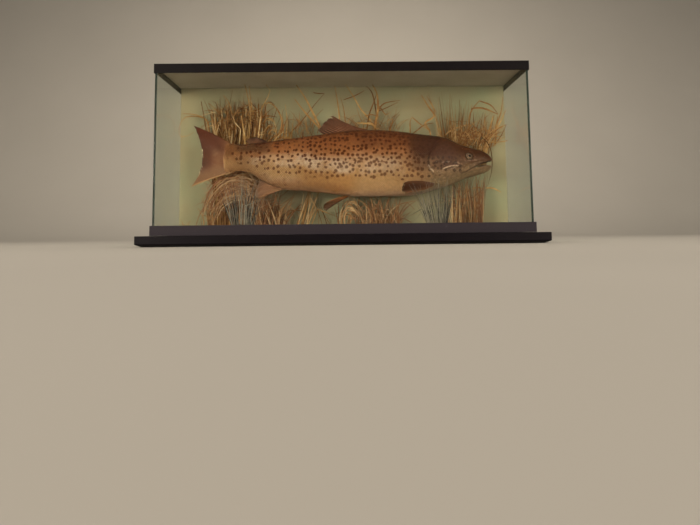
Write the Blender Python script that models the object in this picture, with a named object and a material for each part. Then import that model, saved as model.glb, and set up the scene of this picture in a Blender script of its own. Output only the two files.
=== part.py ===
"""A brown trout mounted in a glazed case: black base board and binding strips, glass front and sides,
painted back board, reeds and grass tufts, and the fish held off the back board on two short rods.

Metres, +Z up, the case's front towards -Y and the fish's head towards +X. The origin is the centre of
the base board's underside. Places along the fish are given as (s, z): s is the distance behind the
snout, and z the height above the surface that the case stands on.
"""

import math

import bmesh
import bpy
from mathutils import Matrix, Vector

# Case
BOX_WIDTH = 0.650  # over the two side panes
BOX_DEPTH = 0.147  # front of the front pane to the back of the back board
TOP_HEIGHT = 0.3168
BASE_THICKNESS = 0.018
BASE_OVERHANG = 0.0213  # front and sides
BASE_BACK_OVERHANG = 0.0067
BASE_CHAMFER_IN = 0.009
BASE_CHAMFER_UP = 0.004
GLASS = 0.003
GAP = 0.0003  # between pieces that touch
RAIL_TOP = 0.0354
RAIL_THICKNESS = 0.003
STRIP_HEIGHT = 0.0165
STRIP_THICKNESS = 0.0015
LID_THICKNESS = 0.0062
BACK_THICKNESS = 0.009
LINING_THICKNESS = 0.0055

# Places that follow from them
HALF_WIDTH = BOX_WIDTH / 2
DEPTH_ALL = BASE_OVERHANG + BOX_DEPTH + BASE_BACK_OVERHANG
BOX_FRONT = -DEPTH_ALL / 2 + BASE_OVERHANG
BOX_BACK = BOX_FRONT + BOX_DEPTH
BOARD_FACE = BOX_BACK - BACK_THICKNESS
GLASS_FOOT = BASE_THICKNESS + GAP
LID_UNDERSIDE = TOP_HEIGHT - LID_THICKNESS
LINING_TOP = GLASS_FOOT + LINING_THICKNESS
INNER_HALF = HALF_WIDTH - GLASS - GAP

# Fish
SNOUT_X = 0.2788
FISH_Y = 0.0218  # the middle plane of the trunk
TAIL_SWING = 0.014  # how far the tail's end curves towards the glass
HEAD_SWING = 0.005
STRAIGHT_S = 0.220  # where the body lies parallel to the back board
STOCK_END = 0.497
RING_POINTS = 24
EYE_S, EYE_Z, EYE_RADIUS, EYE_BULGE = 0.0463, 0.1584, 0.0072, 0.0045
FIN_THICKNESS = 0.0014
PLATE_THICKNESS = 0.0012  # gill cover and upper jaw plates, over the head

# (s, z) of the back, from the snout to the root of the tail fin
BACK_LINE = (
    (0.000, 0.1555), (0.0045, 0.1615), (0.0125, 0.1677), (0.020, 0.1712), (0.039, 0.1767),
    (0.0615, 0.1843), (0.082, 0.1950), (0.092, 0.1980), (0.130, 0.2033), (0.168, 0.2086),
    (0.206, 0.2122), (0.245, 0.2126), (0.292, 0.2084), (0.350, 0.2010), (0.400, 0.1944),
    (0.440, 0.1893), (0.468, 0.1866), (0.485, 0.1884), (0.497, 0.1900),
)
# (s, z) of the chin, throat and belly
BELLY_LINE = (
    (0.000, 0.1450), (0.0055, 0.1372), (0.0174, 0.1283), (0.029, 0.1242), (0.056, 0.1165),
    (0.079, 0.1065), (0.113, 0.0968), (0.132, 0.0915), (0.155, 0.0882), (0.208, 0.0869),
    (0.270, 0.0882), (0.312, 0.0944), (0.350, 0.0984), (0.382, 0.1010), (0.409, 0.1077),
    (0.432, 0.1200), (0.450, 0.1310), (0.468, 0.1360), (0.485, 0.1335), (0.497, 0.1310),
)
# (s, half the body's width)
WIDTH_LINE = (
    (0.000, 0.0060), (0.006, 0.0102), (0.020, 0.0150), (0.046, 0.0212), (0.080, 0.0275),
    (0.115, 0.0315), (0.160, 0.0332), (0.215, 0.0338), (0.270, 0.0322), (0.330, 0.0272),
    (0.390, 0.0196), (0.440, 0.0128), (0.470, 0.0094), (0.488, 0.0066), (0.497, 0.0030),
)

GILL_EDGE = (
    (0.088, 0.230), (0.092, 0.192), (0.104, 0.176), (0.117, 0.161), (0.122, 0.145),
    (0.118, 0.134), (0.112, 0.122), (0.106, 0.110), (0.100, 0.098), (0.094, 0.070),
)
MOUTH_ROOF = ((-0.020, 0.1512), (0.004, 0.1504), (0.020, 0.1458), (0.034, 0.1400), (0.041, 0.1382))
JAW_BACK = ((0.058, 0.1318), (0.066, 0.1245), (0.071, 0.108), (0.072, 0.080))
MOUTH_GAPE = 0.0088  # between the jaws at their tips
TONGUE_S, TONGUE_Z = 0.0165, 0.1412
TONGUE_RADII = (0.0105, 0.0052, 0.0026)
TONGUE_SLOPE = 9.0  # degrees, down towards the throat
TAIL_CUT_S = 0.412

NODES = bpy.data.collections.new("cased_trout")
CUTTERS = bpy.data.collections.new("cutters")


# ---------------------------------------------------------------- shared tools

def clear_scene():
    for obj in list(bpy.data.objects):
        bpy.data.objects.remove(obj)
    for collection in (NODES, CUTTERS):
        bpy.context.scene.collection.children.link(collection)
    CUTTERS.hide_render = True


def material(name, rgb, roughness, metallic=0.0, alpha=1.0):
    made = bpy.data.materials.new(name)
    made.use_nodes = True
    shader = made.node_tree.nodes["Principled BSDF"]
    shader.inputs["Base Color"].default_value = (*rgb, 1.0)
    shader.inputs["Roughness"].default_value = roughness
    shader.inputs["Metallic"].default_value = metallic
    shader.inputs["Alpha"].default_value = alpha
    return made


def add_object(name, mesh, finish=None, cutter=False):
    obj = bpy.data.objects.new(name, mesh)
    if finish is not None:
        mesh.materials.clear()
        mesh.materials.append(finish)
    (CUTTERS if cutter else NODES).objects.link(obj)
    if cutter:
        obj.hide_render = True
        obj.display_type = "WIRE"
    return obj


def mesh_from(bm, name, smooth=False):
    bmesh.ops.recalc_face_normals(bm, faces=bm.faces)
    mesh = bpy.data.meshes.new(name)
    bm.to_mesh(mesh)
    bm.free()
    if smooth:
        mesh.shade_smooth()
        mesh.set_sharp_from_angle(angle=math.radians(35))
    return mesh


def box(name, low, high, finish=None, cutter=False):
    """A box between two corners, its origin at its centre."""
    low, high = Vector(low), Vector(high)
    bm = bmesh.new()
    bmesh.ops.create_cube(bm, size=1.0)
    bmesh.ops.scale(bm, vec=high - low, verts=bm.verts)
    obj = add_object(name, mesh_from(bm, name), finish, cutter)
    obj.location = (low + high) / 2
    return obj


def boolean(obj, cutter, operation):
    modifier = obj.modifiers.new(operation.lower(), "BOOLEAN")
    modifier.operation = operation
    modifier.solver = "EXACT"
    modifier.object = cutter
    return modifier


def smooth_line(points):
    """A function through (s, value) points: a cubic between each pair, with the slope of its neighbours."""
    places = [p[0] for p in points]
    values = [p[1] for p in points]
    last = len(points) - 1
    slopes = []
    for i in range(len(points)):
        before, after = max(i - 1, 0), min(i + 1, last)
        slopes.append((values[after] - values[before]) / (places[after] - places[before]))

    def value(s):
        i = 0
        while i < last - 1 and s > places[i + 1]:
            i += 1
        span = places[i + 1] - places[i]
        t = min(max((s - places[i]) / span, 0.0), 1.0)
        return (
            (2 * t**3 - 3 * t**2 + 1) * values[i] + (t**3 - 2 * t**2 + t) * span * slopes[i]
            + (3 * t**2 - 2 * t**3) * values[i + 1] + (t**3 - t**2) * span * slopes[i + 1]
        )

    return value


def prism(name, outline, y_low, y_high, finish=None, cutter=True, rounded=False):
    """A flat outline of (s, z) points made solid between two depths. It is a filled 2D curve with extrude,
    stood upright and made a mesh so that it can cut and be cut."""
    curve = bpy.data.curves.new(name, "CURVE")
    curve.dimensions = "2D"
    curve.fill_mode = "BOTH"
    curve.extrude = (y_high - y_low) / 2
    spline = curve.splines.new("BEZIER" if rounded else "POLY")
    spline.use_cyclic_u = True
    if rounded:
        curve.resolution_u = 5
        spline.bezier_points.add(len(outline) - 1)
        for point, (s, z) in zip(spline.bezier_points, outline):
            point.co = (SNOUT_X - s, z, 0)
            point.handle_left_type = point.handle_right_type = "AUTO"
    else:
        spline.points.add(len(outline) - 1)
        for point, (s, z) in zip(spline.points, outline):
            point.co = (SNOUT_X - s, z, 0, 1)
    drawn = bpy.data.objects.new(name + "_outline", curve)
    CUTTERS.objects.link(drawn)
    bpy.context.view_layer.update()
    evaluated = drawn.evaluated_get(bpy.context.evaluated_depsgraph_get())
    flat = bpy.data.meshes.new_from_object(evaluated)
    bpy.data.objects.remove(drawn)
    bm = bmesh.new()
    bm.from_mesh(flat)
    bmesh.ops.remove_doubles(bm, verts=bm.verts, dist=0.00001)
    upright = Matrix.Rotation(math.radians(90), 4, "X")
    bmesh.ops.transform(bm, matrix=Matrix.Translation((0, (y_low + y_high) / 2, 0)) @ upright, verts=bm.verts)
    bmesh.ops.triangulate(bm, faces=[f for f in bm.faces if len(f.verts) > 4])
    return add_object(name, mesh_from(bm, name), finish, cutter)


# ------------------------------------------------------------------- the case

def base_board(finish):
    """A board whose lower edge is bevelled at the front and sides: a box whose underside is drawn in."""
    half = HALF_WIDTH + BASE_OVERHANG
    front, back = -DEPTH_ALL / 2, DEPTH_ALL / 2
    board = box("base_board", (-half, front, 0), (half, back, BASE_THICKNESS), finish)
    bm = bmesh.new()
    bm.from_mesh(board.data)
    underside = min(bm.faces, key=lambda f: f.calc_center_median().z)
    bmesh.ops.inset_region(bm, faces=[underside], thickness=BASE_CHAMFER_IN, use_even_offset=True)
    outer = [v for v in bm.verts if v.co.z < 0 and v not in underside.verts]
    bmesh.ops.translate(bm, vec=(0, 0, BASE_CHAMFER_UP), verts=outer)
    rear_inner = [v for v in underside.verts if v.co.y > 0]
    bmesh.ops.translate(bm, vec=(0, BASE_CHAMFER_IN * 0.5, 0), verts=rear_inner)
    bm.to_mesh(board.data)
    bm.free()
    return board


def glazing(glass):
    """Front pane, with the two side panes butted against its back."""
    top = LID_UNDERSIDE - GAP
    box("glass_front", (-HALF_WIDTH, BOX_FRONT, GLASS_FOOT), (HALF_WIDTH, BOX_FRONT + GLASS, top), glass)
    side_front = BOX_FRONT + GLASS + GAP
    for name, side in (("glass_left", -1), ("glass_right", 1)):
        xs = sorted((side * HALF_WIDTH, side * (HALF_WIDTH - GLASS)))
        box(name, (xs[0], side_front, GLASS_FOOT), (xs[1], BOX_BACK, top), glass)


def boards(board_paint, black):
    """Back board, floor lining and lid."""
    top = LID_UNDERSIDE - GAP
    box("back_board", (-INNER_HALF, BOARD_FACE, GLASS_FOOT), (INNER_HALF, BOX_BACK, top), board_paint)
    box(
        "floor_lining", (-INNER_HALF, BOX_FRONT + GLASS + GAP, GLASS_FOOT),
        (INNER_HALF, BOARD_FACE - GAP, LINING_TOP), board_paint,
    )
    box(
        "lid_board", (-HALF_WIDTH + GAP, BOX_FRONT + GAP, LID_UNDERSIDE),
        (HALF_WIDTH - GAP, BOX_BACK, TOP_HEIGHT), black,
    )


def bindings(black):
    """Rails round the foot of the glass and strips round its top, each as a front piece and two sides."""
    for kind, low, high, thickness in (
        ("foot_rail", GLASS_FOOT, RAIL_TOP, RAIL_THICKNESS),
        ("top_strip", TOP_HEIGHT - STRIP_HEIGHT, TOP_HEIGHT, STRIP_THICKNESS),
    ):
        outer = HALF_WIDTH + GAP + thickness
        front_face, front_back = BOX_FRONT - GAP - thickness, BOX_FRONT - GAP
        box(f"{kind}_front", (-outer, front_face, low), (outer, front_back, high), black)
        for name, side in (("left", -1), ("right", 1)):
            xs = sorted((side * outer, side * (HALF_WIDTH + GAP)))
            box(f"{kind}_{name}", (xs[0], front_back + GAP, low), (xs[1], BOX_BACK, high), black)


# ------------------------------------------------------------------- the fish

back_at, belly_at, width_at = (smooth_line(line) for line in (BACK_LINE, BELLY_LINE, WIDTH_LINE))


def middle_y(s):
    """The body's middle plane at s: it swings a little towards the glass at both ends."""
    if s > STRAIGHT_S:
        return FISH_Y - TAIL_SWING * ((s - STRAIGHT_S) / (0.560 - STRAIGHT_S)) ** 2
    return FISH_Y - HEAD_SWING * ((STRAIGHT_S - s) / STRAIGHT_S) ** 2


def section(s, grow=0.0):
    """One ring of the body: an oval that is fullest just below its middle and a little squared."""
    top, bottom = back_at(s) + grow, belly_at(s) - grow
    half = width_at(s) + grow
    widest = bottom + (top - bottom) * 0.47
    power = 2 / 2.15
    ring = []
    for k in range(RING_POINTS):
        angle = 2 * math.pi * k / RING_POINTS
        c, n = math.cos(angle), math.sin(angle)
        across = math.copysign(abs(c) ** power, c)
        up = math.copysign(abs(n) ** power, n)
        reach = top - widest if up > 0 else widest - bottom
        ring.append(Vector((SNOUT_X - s, middle_y(s) + half * across, widest + reach * up)))
    return ring


def body_stations():
    """Ring places: close together at the snout and the tail's root, about 14 mm apart between."""
    near = [0.0, 0.0015, 0.004, 0.008, 0.013, 0.020, 0.028, 0.037]
    middle = [0.047 + 0.0137 * k for k in range(32)]
    return near + middle + [0.482, 0.490, STOCK_END]


def body_mesh(name, grow=0.0):
    """The whole fish without its fins, lofted through its rings and closed at both ends."""
    bm = bmesh.new()
    rings = [[bm.verts.new(p) for p in section(s, grow)] for s in body_stations()]
    for fore, aft in zip(rings, rings[1:]):
        for k in range(RING_POINTS):
            j = (k + 1) % RING_POINTS
            bm.faces.new((fore[k], fore[j], aft[j], aft[k]))
    for end in (rings[0], rings[-1]):
        bmesh.ops.contextual_create(bm, geom=end)
    return mesh_from(bm, name, smooth=True)


def shifted(outline, ds=0.0, dz=0.0):
    return tuple((s + ds, z + dz) for s, z in outline)


def flesh(skin):
    """Head, lower jaw, trunk and tail stock: the whole body parted along the gill edge, the mouth and
    the root of the tail with thin cuts."""
    y_low, y_high = FISH_Y - 0.06, FISH_Y + 0.06
    front = ((-0.03, 0.070), (-0.03, 0.230))
    head_region = prism("head_region", GILL_EDGE + front, y_low, y_high)
    behind_head = prism("behind_head", shifted(GILL_EDGE, ds=0.0004) + shifted(front, ds=-0.01), y_low, y_high)
    jaw_room = prism("jaw_room", MOUTH_ROOF + shifted(JAW_BACK, ds=0.0004) + ((-0.02, 0.080),), y_low, y_high)
    mouth_floor = tuple(
        (s, z - 0.0004 - MOUTH_GAPE * min(1.0, max(0.0, (0.041 - s) / 0.041))) for s, z in MOUTH_ROOF
    )
    jaw_region = prism("jaw_region", mouth_floor + JAW_BACK + ((-0.02, 0.080),), y_low, y_high)
    tail_x = SNOUT_X - TAIL_CUT_S
    aft = box("aft_region", (tail_x - 0.2, y_low, 0), (tail_x, y_high, 0.3), cutter=True)
    fore = box("fore_region", (tail_x + 0.0004, y_low, 0), (tail_x + 0.7, y_high, 0.3), cutter=True)

    head = add_object("head", body_mesh("head"), skin)
    boolean(head, head_region, "INTERSECT")
    boolean(head, jaw_room, "DIFFERENCE")
    for side in (-1, 1):
        boolean(head, eyeball(f"eye_socket_{side}", side, grow=GAP, cutter=True), "DIFFERENCE")
    jaw = add_object("lower_jaw", body_mesh("lower_jaw"), skin)
    boolean(jaw, jaw_region, "INTERSECT")
    mouth_room = prism(
        "mouth_room", shifted(MOUTH_ROOF, dz=-GAP) + shifted(mouth_floor, dz=GAP)[::-1], y_low, y_high
    )
    tongue(skin, mouth_room)
    trunk = add_object("trunk", body_mesh("trunk"), skin)
    boolean(trunk, behind_head, "DIFFERENCE")
    boolean(trunk, fore, "INTERSECT")
    stock = add_object("tail_stock", body_mesh("tail_stock"), skin)
    boolean(stock, aft, "INTERSECT")


def tongue(skin, mouth_room):
    """A low rounded tongue that follows the slope of the lower jaw's floor."""
    bm = bmesh.new()
    bmesh.ops.create_uvsphere(bm, u_segments=16, v_segments=10, radius=1.0)
    bmesh.ops.scale(bm, vec=TONGUE_RADII, verts=bm.verts)
    slope = Matrix.Rotation(math.radians(-TONGUE_SLOPE), 3, "Y")
    bmesh.ops.rotate(bm, cent=(0, 0, 0), matrix=slope, verts=bm.verts)
    piece = add_object("tongue", mesh_from(bm, "tongue", smooth=True), skin)
    piece.location = (SNOUT_X - TONGUE_S, middle_y(TONGUE_S), TONGUE_Z)
    boolean(piece, mouth_room, "INTERSECT")


def side_y(s, z, side):
    """Where the body's flank lies at (s, z), on the glass side (-1) or the board side (+1)."""
    ring = [p for p in section(s) if (p.y - middle_y(s)) * side > 0]
    nearest = sorted(ring, key=lambda p: abs(p.z - z))[:2]
    return sum(p.y for p in nearest) / 2


def eyeball(name, side, grow=0.0, finish=None, cutter=False):
    """A flattened ball set into the side of the head."""
    bm = bmesh.new()
    bmesh.ops.create_uvsphere(bm, u_segments=20, v_segments=12, radius=EYE_RADIUS + grow)
    bmesh.ops.scale(bm, vec=(1, 1, (EYE_BULGE + grow) / (EYE_RADIUS + grow)), verts=bm.verts)
    bmesh.ops.rotate(bm, cent=(0, 0, 0), matrix=Matrix.Rotation(math.radians(90), 3, "X"), verts=bm.verts)
    yaw, roll = math.radians(-12 * side), math.radians(14 * side)
    bmesh.ops.rotate(bm, cent=(0, 0, 0), matrix=Matrix.Rotation(roll, 3, "X"), verts=bm.verts)
    bmesh.ops.rotate(bm, cent=(0, 0, 0), matrix=Matrix.Rotation(yaw, 3, "Z"), verts=bm.verts)
    obj = add_object(name, mesh_from(bm, name, smooth=True), finish, cutter)
    depth = side_y(EYE_S, EYE_Z, side) - side * 0.0022
    obj.location = (SNOUT_X - EYE_S, depth, EYE_Z)
    return obj


def head_plate(name, outline, side, skin, room, shell):
    """A bony plate lying on one side of the head: the outline, between two grown copies of the body."""
    reach = (FISH_Y - 0.06, FISH_Y - 0.010) if side < 0 else (FISH_Y + 0.006, FISH_Y + 0.06)
    plate = add_object(name, shell.data.copy(), skin)
    boolean(plate, prism(name + "_outline", outline, *reach, rounded=True), "INTERSECT")
    boolean(plate, room, "DIFFERENCE")
    return plate


def head_plates(skin, room):
    gill = (
        (0.0835, 0.176), (0.098, 0.172), (0.112, 0.160), (0.1195, 0.146), (0.1165, 0.133),
        (0.109, 0.121), (0.098, 0.113), (0.086, 0.115), (0.0805, 0.130), (0.079, 0.155),
    )
    upper_jaw = (
        (0.017, 0.1500), (0.030, 0.1497), (0.046, 0.1452), (0.0585, 0.1382), (0.0635, 0.1320),
        (0.0600, 0.1308), (0.050, 0.1352), (0.036, 0.1414), (0.022, 0.1468),
    )
    shell = add_object("plate_shell", body_mesh("plate_shell", GAP + PLATE_THICKNESS), cutter=True)
    for name, side in (("right", -1), ("left", 1)):
        head_plate(f"gill_cover_{name}", gill, side, skin, room, shell)
        head_plate(f"upper_jaw_{name}", upper_jaw, side, skin, room, shell)


def fin(name, outline, finish, room, hinge=None, turn_z=0.0, turn_x=0.0, centre_y=None):
    """A flat fin from its (s, z) outline, turned about the hinge point and trimmed where it meets the body."""
    y = FISH_Y if centre_y is None else centre_y
    plate = prism(name, outline, y - FIN_THICKNESS / 2, y + FIN_THICKNESS / 2, finish, cutter=False, rounded=True)
    if hinge is not None:
        s, z = hinge
        pivot = Vector((SNOUT_X - s, y, z))
        turn = Matrix.Rotation(math.radians(turn_z), 4, "Z") @ Matrix.Rotation(math.radians(turn_x), 4, "X")
        plate.data.transform(Matrix.Translation(pivot) @ turn @ Matrix.Translation(-pivot))
        plate.data.update()
    boolean(plate, room, "DIFFERENCE")
    return plate


def fins(finish, room):
    caudal = (
        (0.484, 0.176), (0.4915, 0.1902), (0.510, 0.1992), (0.532, 0.2128), (0.5560, 0.2222),
        (0.5475, 0.200), (0.5415, 0.182), (0.5405, 0.163), (0.5425, 0.143), (0.549, 0.126),
        (0.5585, 0.1072), (0.536, 0.1110), (0.512, 0.1210), (0.4915, 0.1303), (0.484, 0.146),
    )
    dorsal = (
        (0.205, 0.2085), (0.219, 0.2137), (0.246, 0.2212), (0.270, 0.2300), (0.2975, 0.2414),
        (0.310, 0.2325), (0.3265, 0.2142), (0.316, 0.2040), (0.260, 0.2030),
    )
    adipose = (
        (0.421, 0.1890), (0.430, 0.1978), (0.445, 0.2036), (0.4585, 0.1985), (0.4570, 0.1925),
        (0.447, 0.1845), (0.430, 0.1845),
    )
    anal = (
        (0.386, 0.1020), (0.404, 0.0935), (0.422, 0.0872), (0.439, 0.0860), (0.4445, 0.0960),
        (0.440, 0.1130), (0.436, 0.1260), (0.412, 0.1130),
    )
    pelvic = (
        (0.270, 0.0905), (0.283, 0.0835), (0.300, 0.0757), (0.3155, 0.0695), (0.3145, 0.0623),
        (0.300, 0.0662), (0.283, 0.0745), (0.270, 0.0840),
    )
    pectoral = (
        (0.110, 0.1085), (0.132, 0.1105), (0.152, 0.1125), (0.1685, 0.1105), (0.1735, 0.1010),
        (0.170, 0.0895), (0.156, 0.0910), (0.138, 0.0990), (0.120, 0.1050), (0.110, 0.1060),
    )
    tail_heading = math.degrees(2 * TAIL_SWING * (0.52 - STRAIGHT_S) / (0.560 - STRAIGHT_S) ** 2)
    fin("caudal_fin", caudal, finish, room, (0.495, 0.160), tail_heading, 0, middle_y(0.495))
    fin("dorsal_fin", dorsal, finish, room, centre_y=middle_y(0.26))
    fin("adipose_fin", adipose, finish, room, (0.430, 0.187), 3.5, 0, middle_y(0.430))
    fin("anal_fin", anal, finish, room, (0.410, 0.110), 3.0, 0, middle_y(0.410))
    for name, side in (("right", -1), ("left", 1)):
        root = side_y(0.272, 0.092, side) - side * 0.004
        fin(f"pelvic_fin_{name}", pelvic, finish, room, (0.272, 0.088), -8 * side, -24 * side, root)
        root = side_y(0.115, 0.107, side) - side * 0.0020
        fin(f"pectoral_fin_{name}", pectoral, finish, room, (0.114, 0.107), -12 * side, -22 * side, root)


def mounting_rods(metal, room):
    """Two short rods from the back board to the hidden flank."""
    for name, s, z in (("mount_rod_front", 0.165, 0.152), ("mount_rod_rear", 0.352, 0.150)):
        bm = bmesh.new()
        start, end = FISH_Y + 0.01, BOARD_FACE - GAP
        bmesh.ops.create_cone(
            bm, cap_ends=True, segments=16, radius1=0.004, radius2=0.004, depth=end - start
        )
        bmesh.ops.rotate(bm, cent=(0, 0, 0), matrix=Matrix.Rotation(math.radians(90), 3, "X"), verts=bm.verts)
        rod = add_object(name, mesh_from(bm, name, smooth=True), metal)
        rod.location = (SNOUT_X - s, (start + end) / 2, z)
        boolean(rod, room, "DIFFERENCE")


# ------------------------------------------------------------------- the reeds

def blade(bm, root, lean, height, width, thickness, curl, steps=6):
    """One tapering leaf from its root: it leans by lean and bends over by curl radians towards its tip."""
    here, heading = Vector(root), lean
    stride = height / steps
    rings = []
    for k in range(steps + 1):
        half = width / 2 * (1 - 0.8 * (k / steps) ** 2)
        across = Vector((math.cos(heading), 0, -math.sin(heading))) * half
        deep = Vector((0, thickness / 2, 0))
        corners = (here - across - deep, here + across - deep, here + across + deep, here - across + deep)
        rings.append([bm.verts.new(p) for p in corners])
        here = here + Vector((math.sin(heading), 0, math.cos(heading))) * stride
        heading += curl / steps
    for low, high in zip(rings, rings[1:]):
        for k in range(4):
            j = (k + 1) % 4
            bm.faces.new((low[k], low[j], high[j], high[k]))
    bm.faces.new(rings[0])
    bm.faces.new(rings[-1])


def reed_clump(name, x, y, spread, blades, finish, width=0.0045, thickness=0.0012):
    """A clump on the floor lining: leaves that rise side by side from one low tussock.

    blades holds (place across the clump from -1 to 1, length, lean in degrees, curl in degrees)."""
    foot = LINING_TOP + GAP
    tussock_height = 0.010
    clump = box(
        name, (x - spread - 0.004, y - 0.004, foot), (x + spread + 0.004, y + 0.004, foot + tussock_height), finish
    )
    for number, (place, length, lean, curl) in enumerate(blades):
        bm = bmesh.new()
        layer = y + (0.0022, -0.0022, 0.0)[number % 3]
        root = (x + place * spread, layer, foot + tussock_height * 0.4)
        blade(bm, root, math.radians(lean), length, width, thickness, math.radians(curl))
        leaf = add_object(f"{name}_leaf_{number}", mesh_from(bm, name), cutter=True)
        boolean(clump, leaf, "UNION")
    return clump


def reeds(straw, green):
    behind = BOARD_FACE - 0.0075
    in_front = BOX_FRONT + 0.024
    clumps = (
        ("reeds_tail_low", -0.258, 0.013, ((-1, 0.055, -18, -40), (0, 0.10, -6, -30), (1, 0.07, 2, -16))),
        ("reeds_tail_high", -0.180, 0.030, (
            (-1, 0.21, -5, -8), (-0.6, 0.24, -3, 6), (-0.2, 0.26, 1, -5), (0.2, 0.255, -2, 8),
            (0.6, 0.23, 2, 3), (1, 0.20, 2, 5),
        )),
        ("reeds_tail_right", -0.108, 0.014, ((-1, 0.21, -1, -3), (0, 0.225, 2, 3), (1, 0.20, 4, 2))),
        ("reeds_middle_left", -0.030, 0.014, ((-1, 0.262, -11, 3), (0.2, 0.235, -13, -3), (1, 0.23, 2, 12))),
        ("reeds_middle_right", 0.040, 0.024, (
            (-1, 0.245, -4, -3), (-0.3, 0.255, -12, 4), (0.4, 0.24, 4, -8), (1, 0.22, 10, 30),
        )),
        ("reeds_shoulder", 0.128, 0.012, ((-1, 0.19, -2, 40), (1, 0.225, -7, -6))),
        ("reeds_nape", 0.192, 0.012, ((-1, 0.20, -4, 6), (0, 0.235, 1, 2), (1, 0.205, 4, 8))),
        ("reeds_snout", 0.270, 0.022, (
            (-1, 0.17, -9, -12), (-0.4, 0.20, 2, 6), (0.2, 0.21, 8, -4), (0.7, 0.215, 4, -34),
        )),
    )
    for name, x, spread, blades in clumps:
        reed_clump(name, x, behind, spread, blades, straw)
    tufts = (("grass_tail", -0.176, -1), ("grass_throat", 0.162, 1))
    for name, x, side in tufts:
        blades = tuple(
            (place, 0.070 + 0.022 * math.cos(place * 1.3), side * 2 + place * 11, place * 12)
            for place in (-1, -0.5, 0, 0.5, 1)
        )
        reed_clump(name, x, in_front, 0.013, blades, green, width=0.0028, thickness=0.001)


def build():
    clear_scene()
    black = material("black painted wood", (0.012, 0.010, 0.012), 0.35)
    glass = material("old window glass", (0.72, 0.80, 0.74), 0.05, alpha=0.25)
    paint = material("pale green distemper", (0.42, 0.46, 0.28), 0.85)
    skin = material("varnished trout skin", (0.36, 0.21, 0.09), 0.30)
    fin_skin = material("varnished fin", (0.22, 0.09, 0.04), 0.35)
    eye = material("glass eye", (0.03, 0.02, 0.015), 0.05)
    rod = material("mild steel rod", (0.35, 0.34, 0.33), 0.4, metallic=1.0)
    straw = material("dried reed", (0.42, 0.27, 0.10), 0.7)
    green = material("dried grass", (0.24, 0.25, 0.15), 0.75)

    base_board(black)
    glazing(glass)
    boards(paint, black)
    bindings(black)
    room = add_object("body_room", body_mesh("body_room", GAP), cutter=True)
    flesh(skin)
    head_plates(skin, room)
    for name, side in (("eye_right", -1), ("eye_left", 1)):
        eyeball(name, side, finish=eye)
    fins(fin_skin, room)
    mounting_rods(rod, room)
    reeds(straw, green)


build()
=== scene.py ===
import math

import bmesh
import bpy
import numpy as np
from mathutils import Matrix, Vector
from mathutils.bvhtree import BVHTree


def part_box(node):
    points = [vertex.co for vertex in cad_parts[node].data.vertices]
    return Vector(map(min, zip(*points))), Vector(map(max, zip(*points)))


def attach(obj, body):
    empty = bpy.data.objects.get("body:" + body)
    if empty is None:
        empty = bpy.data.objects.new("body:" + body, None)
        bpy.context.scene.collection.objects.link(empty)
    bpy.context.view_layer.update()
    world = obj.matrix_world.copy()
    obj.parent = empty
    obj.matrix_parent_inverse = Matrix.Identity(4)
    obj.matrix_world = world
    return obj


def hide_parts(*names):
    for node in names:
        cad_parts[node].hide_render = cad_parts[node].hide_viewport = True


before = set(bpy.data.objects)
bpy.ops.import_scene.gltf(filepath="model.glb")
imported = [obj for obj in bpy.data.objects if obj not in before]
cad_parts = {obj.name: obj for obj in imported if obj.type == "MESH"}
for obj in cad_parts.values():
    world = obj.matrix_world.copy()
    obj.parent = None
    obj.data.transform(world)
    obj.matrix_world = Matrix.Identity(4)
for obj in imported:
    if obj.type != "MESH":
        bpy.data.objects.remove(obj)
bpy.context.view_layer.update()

# A brown trout in a glazed case: skin and scales, rayed fins, glass eyes, reeds, and the case round them.
# Metres. The case's front faces -Y and the trout's head is towards +X. Settings are in millimetres.

mm = 0.001
dice = np.random.default_rng(56)
print("frame loaded:", len(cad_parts), "nodes")


# shared tools

def hexColour(code):  # sRGB hex to linear
    channels = [int(code[i:i + 2], 16) / 255 for i in (1, 3, 5)]
    return (*[c / 12.92 if c <= 0.04045 else ((c + 0.055) / 1.055) ** 2.4 for c in channels], 1.0)


def addNode(tree, kind, inputs=(), out=0, stops=(), **settings):  # a shader node, set and linked
    node = tree.nodes.new("ShaderNode" + kind)
    for name, value in settings.items():
        setattr(node, name, value)
    for name, value in inputs.items() if isinstance(inputs, dict) else enumerate(inputs):
        if isinstance(value, bpy.types.NodeSocket):
            tree.links.new(value, node.inputs[name])
        else:
            node.inputs[name].default_value = hexColour(value) if isinstance(value, str) else value
    if stops:  # a colour ramp's places and hex codes
        bar = node.color_ramp.elements
        while len(bar) < len(stops):
            bar.new(0.5)
        for element, (place, code) in zip(bar, stops):
            element.position = place
            element.color = hexColour(code)
    return node.outputs[out]


def newMaterial(name, colour, roughness, **sockets):
    material = bpy.data.materials.new(name)
    material.use_nodes = True
    tree = material.node_tree
    shader = tree.nodes["Principled BSDF"]
    shader.inputs["Base Color"].default_value = hexColour(colour)
    shader.inputs["Roughness"].default_value = roughness
    for socket, value in sockets.items():
        shader.inputs[socket].default_value = value
    return material, tree, shader


def band(tree, value, low, high, soft):  # 1 between low and high, falling to 0 over soft on each side
    share = addNode(tree, "MapRange", (value, low - soft, low, 0.0, 1.0), interpolation_type="SMOOTHSTEP")
    fall = addNode(tree, "MapRange", (value, high, high + soft, 1.0, 0.0), interpolation_type="SMOOTHSTEP")
    return addNode(tree, "Math", (share, fall), operation="MULTIPLY")


def product(tree, *masks):  # masks multiplied together, where a tuple stands for a band
    terms = [band(tree, *mask) if isinstance(mask, tuple) else mask for mask in masks]
    share = terms[0]
    for term in terms[1:]:
        share = addNode(tree, "Math", (share, term), operation="MULTIPLY")
    return share


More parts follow.
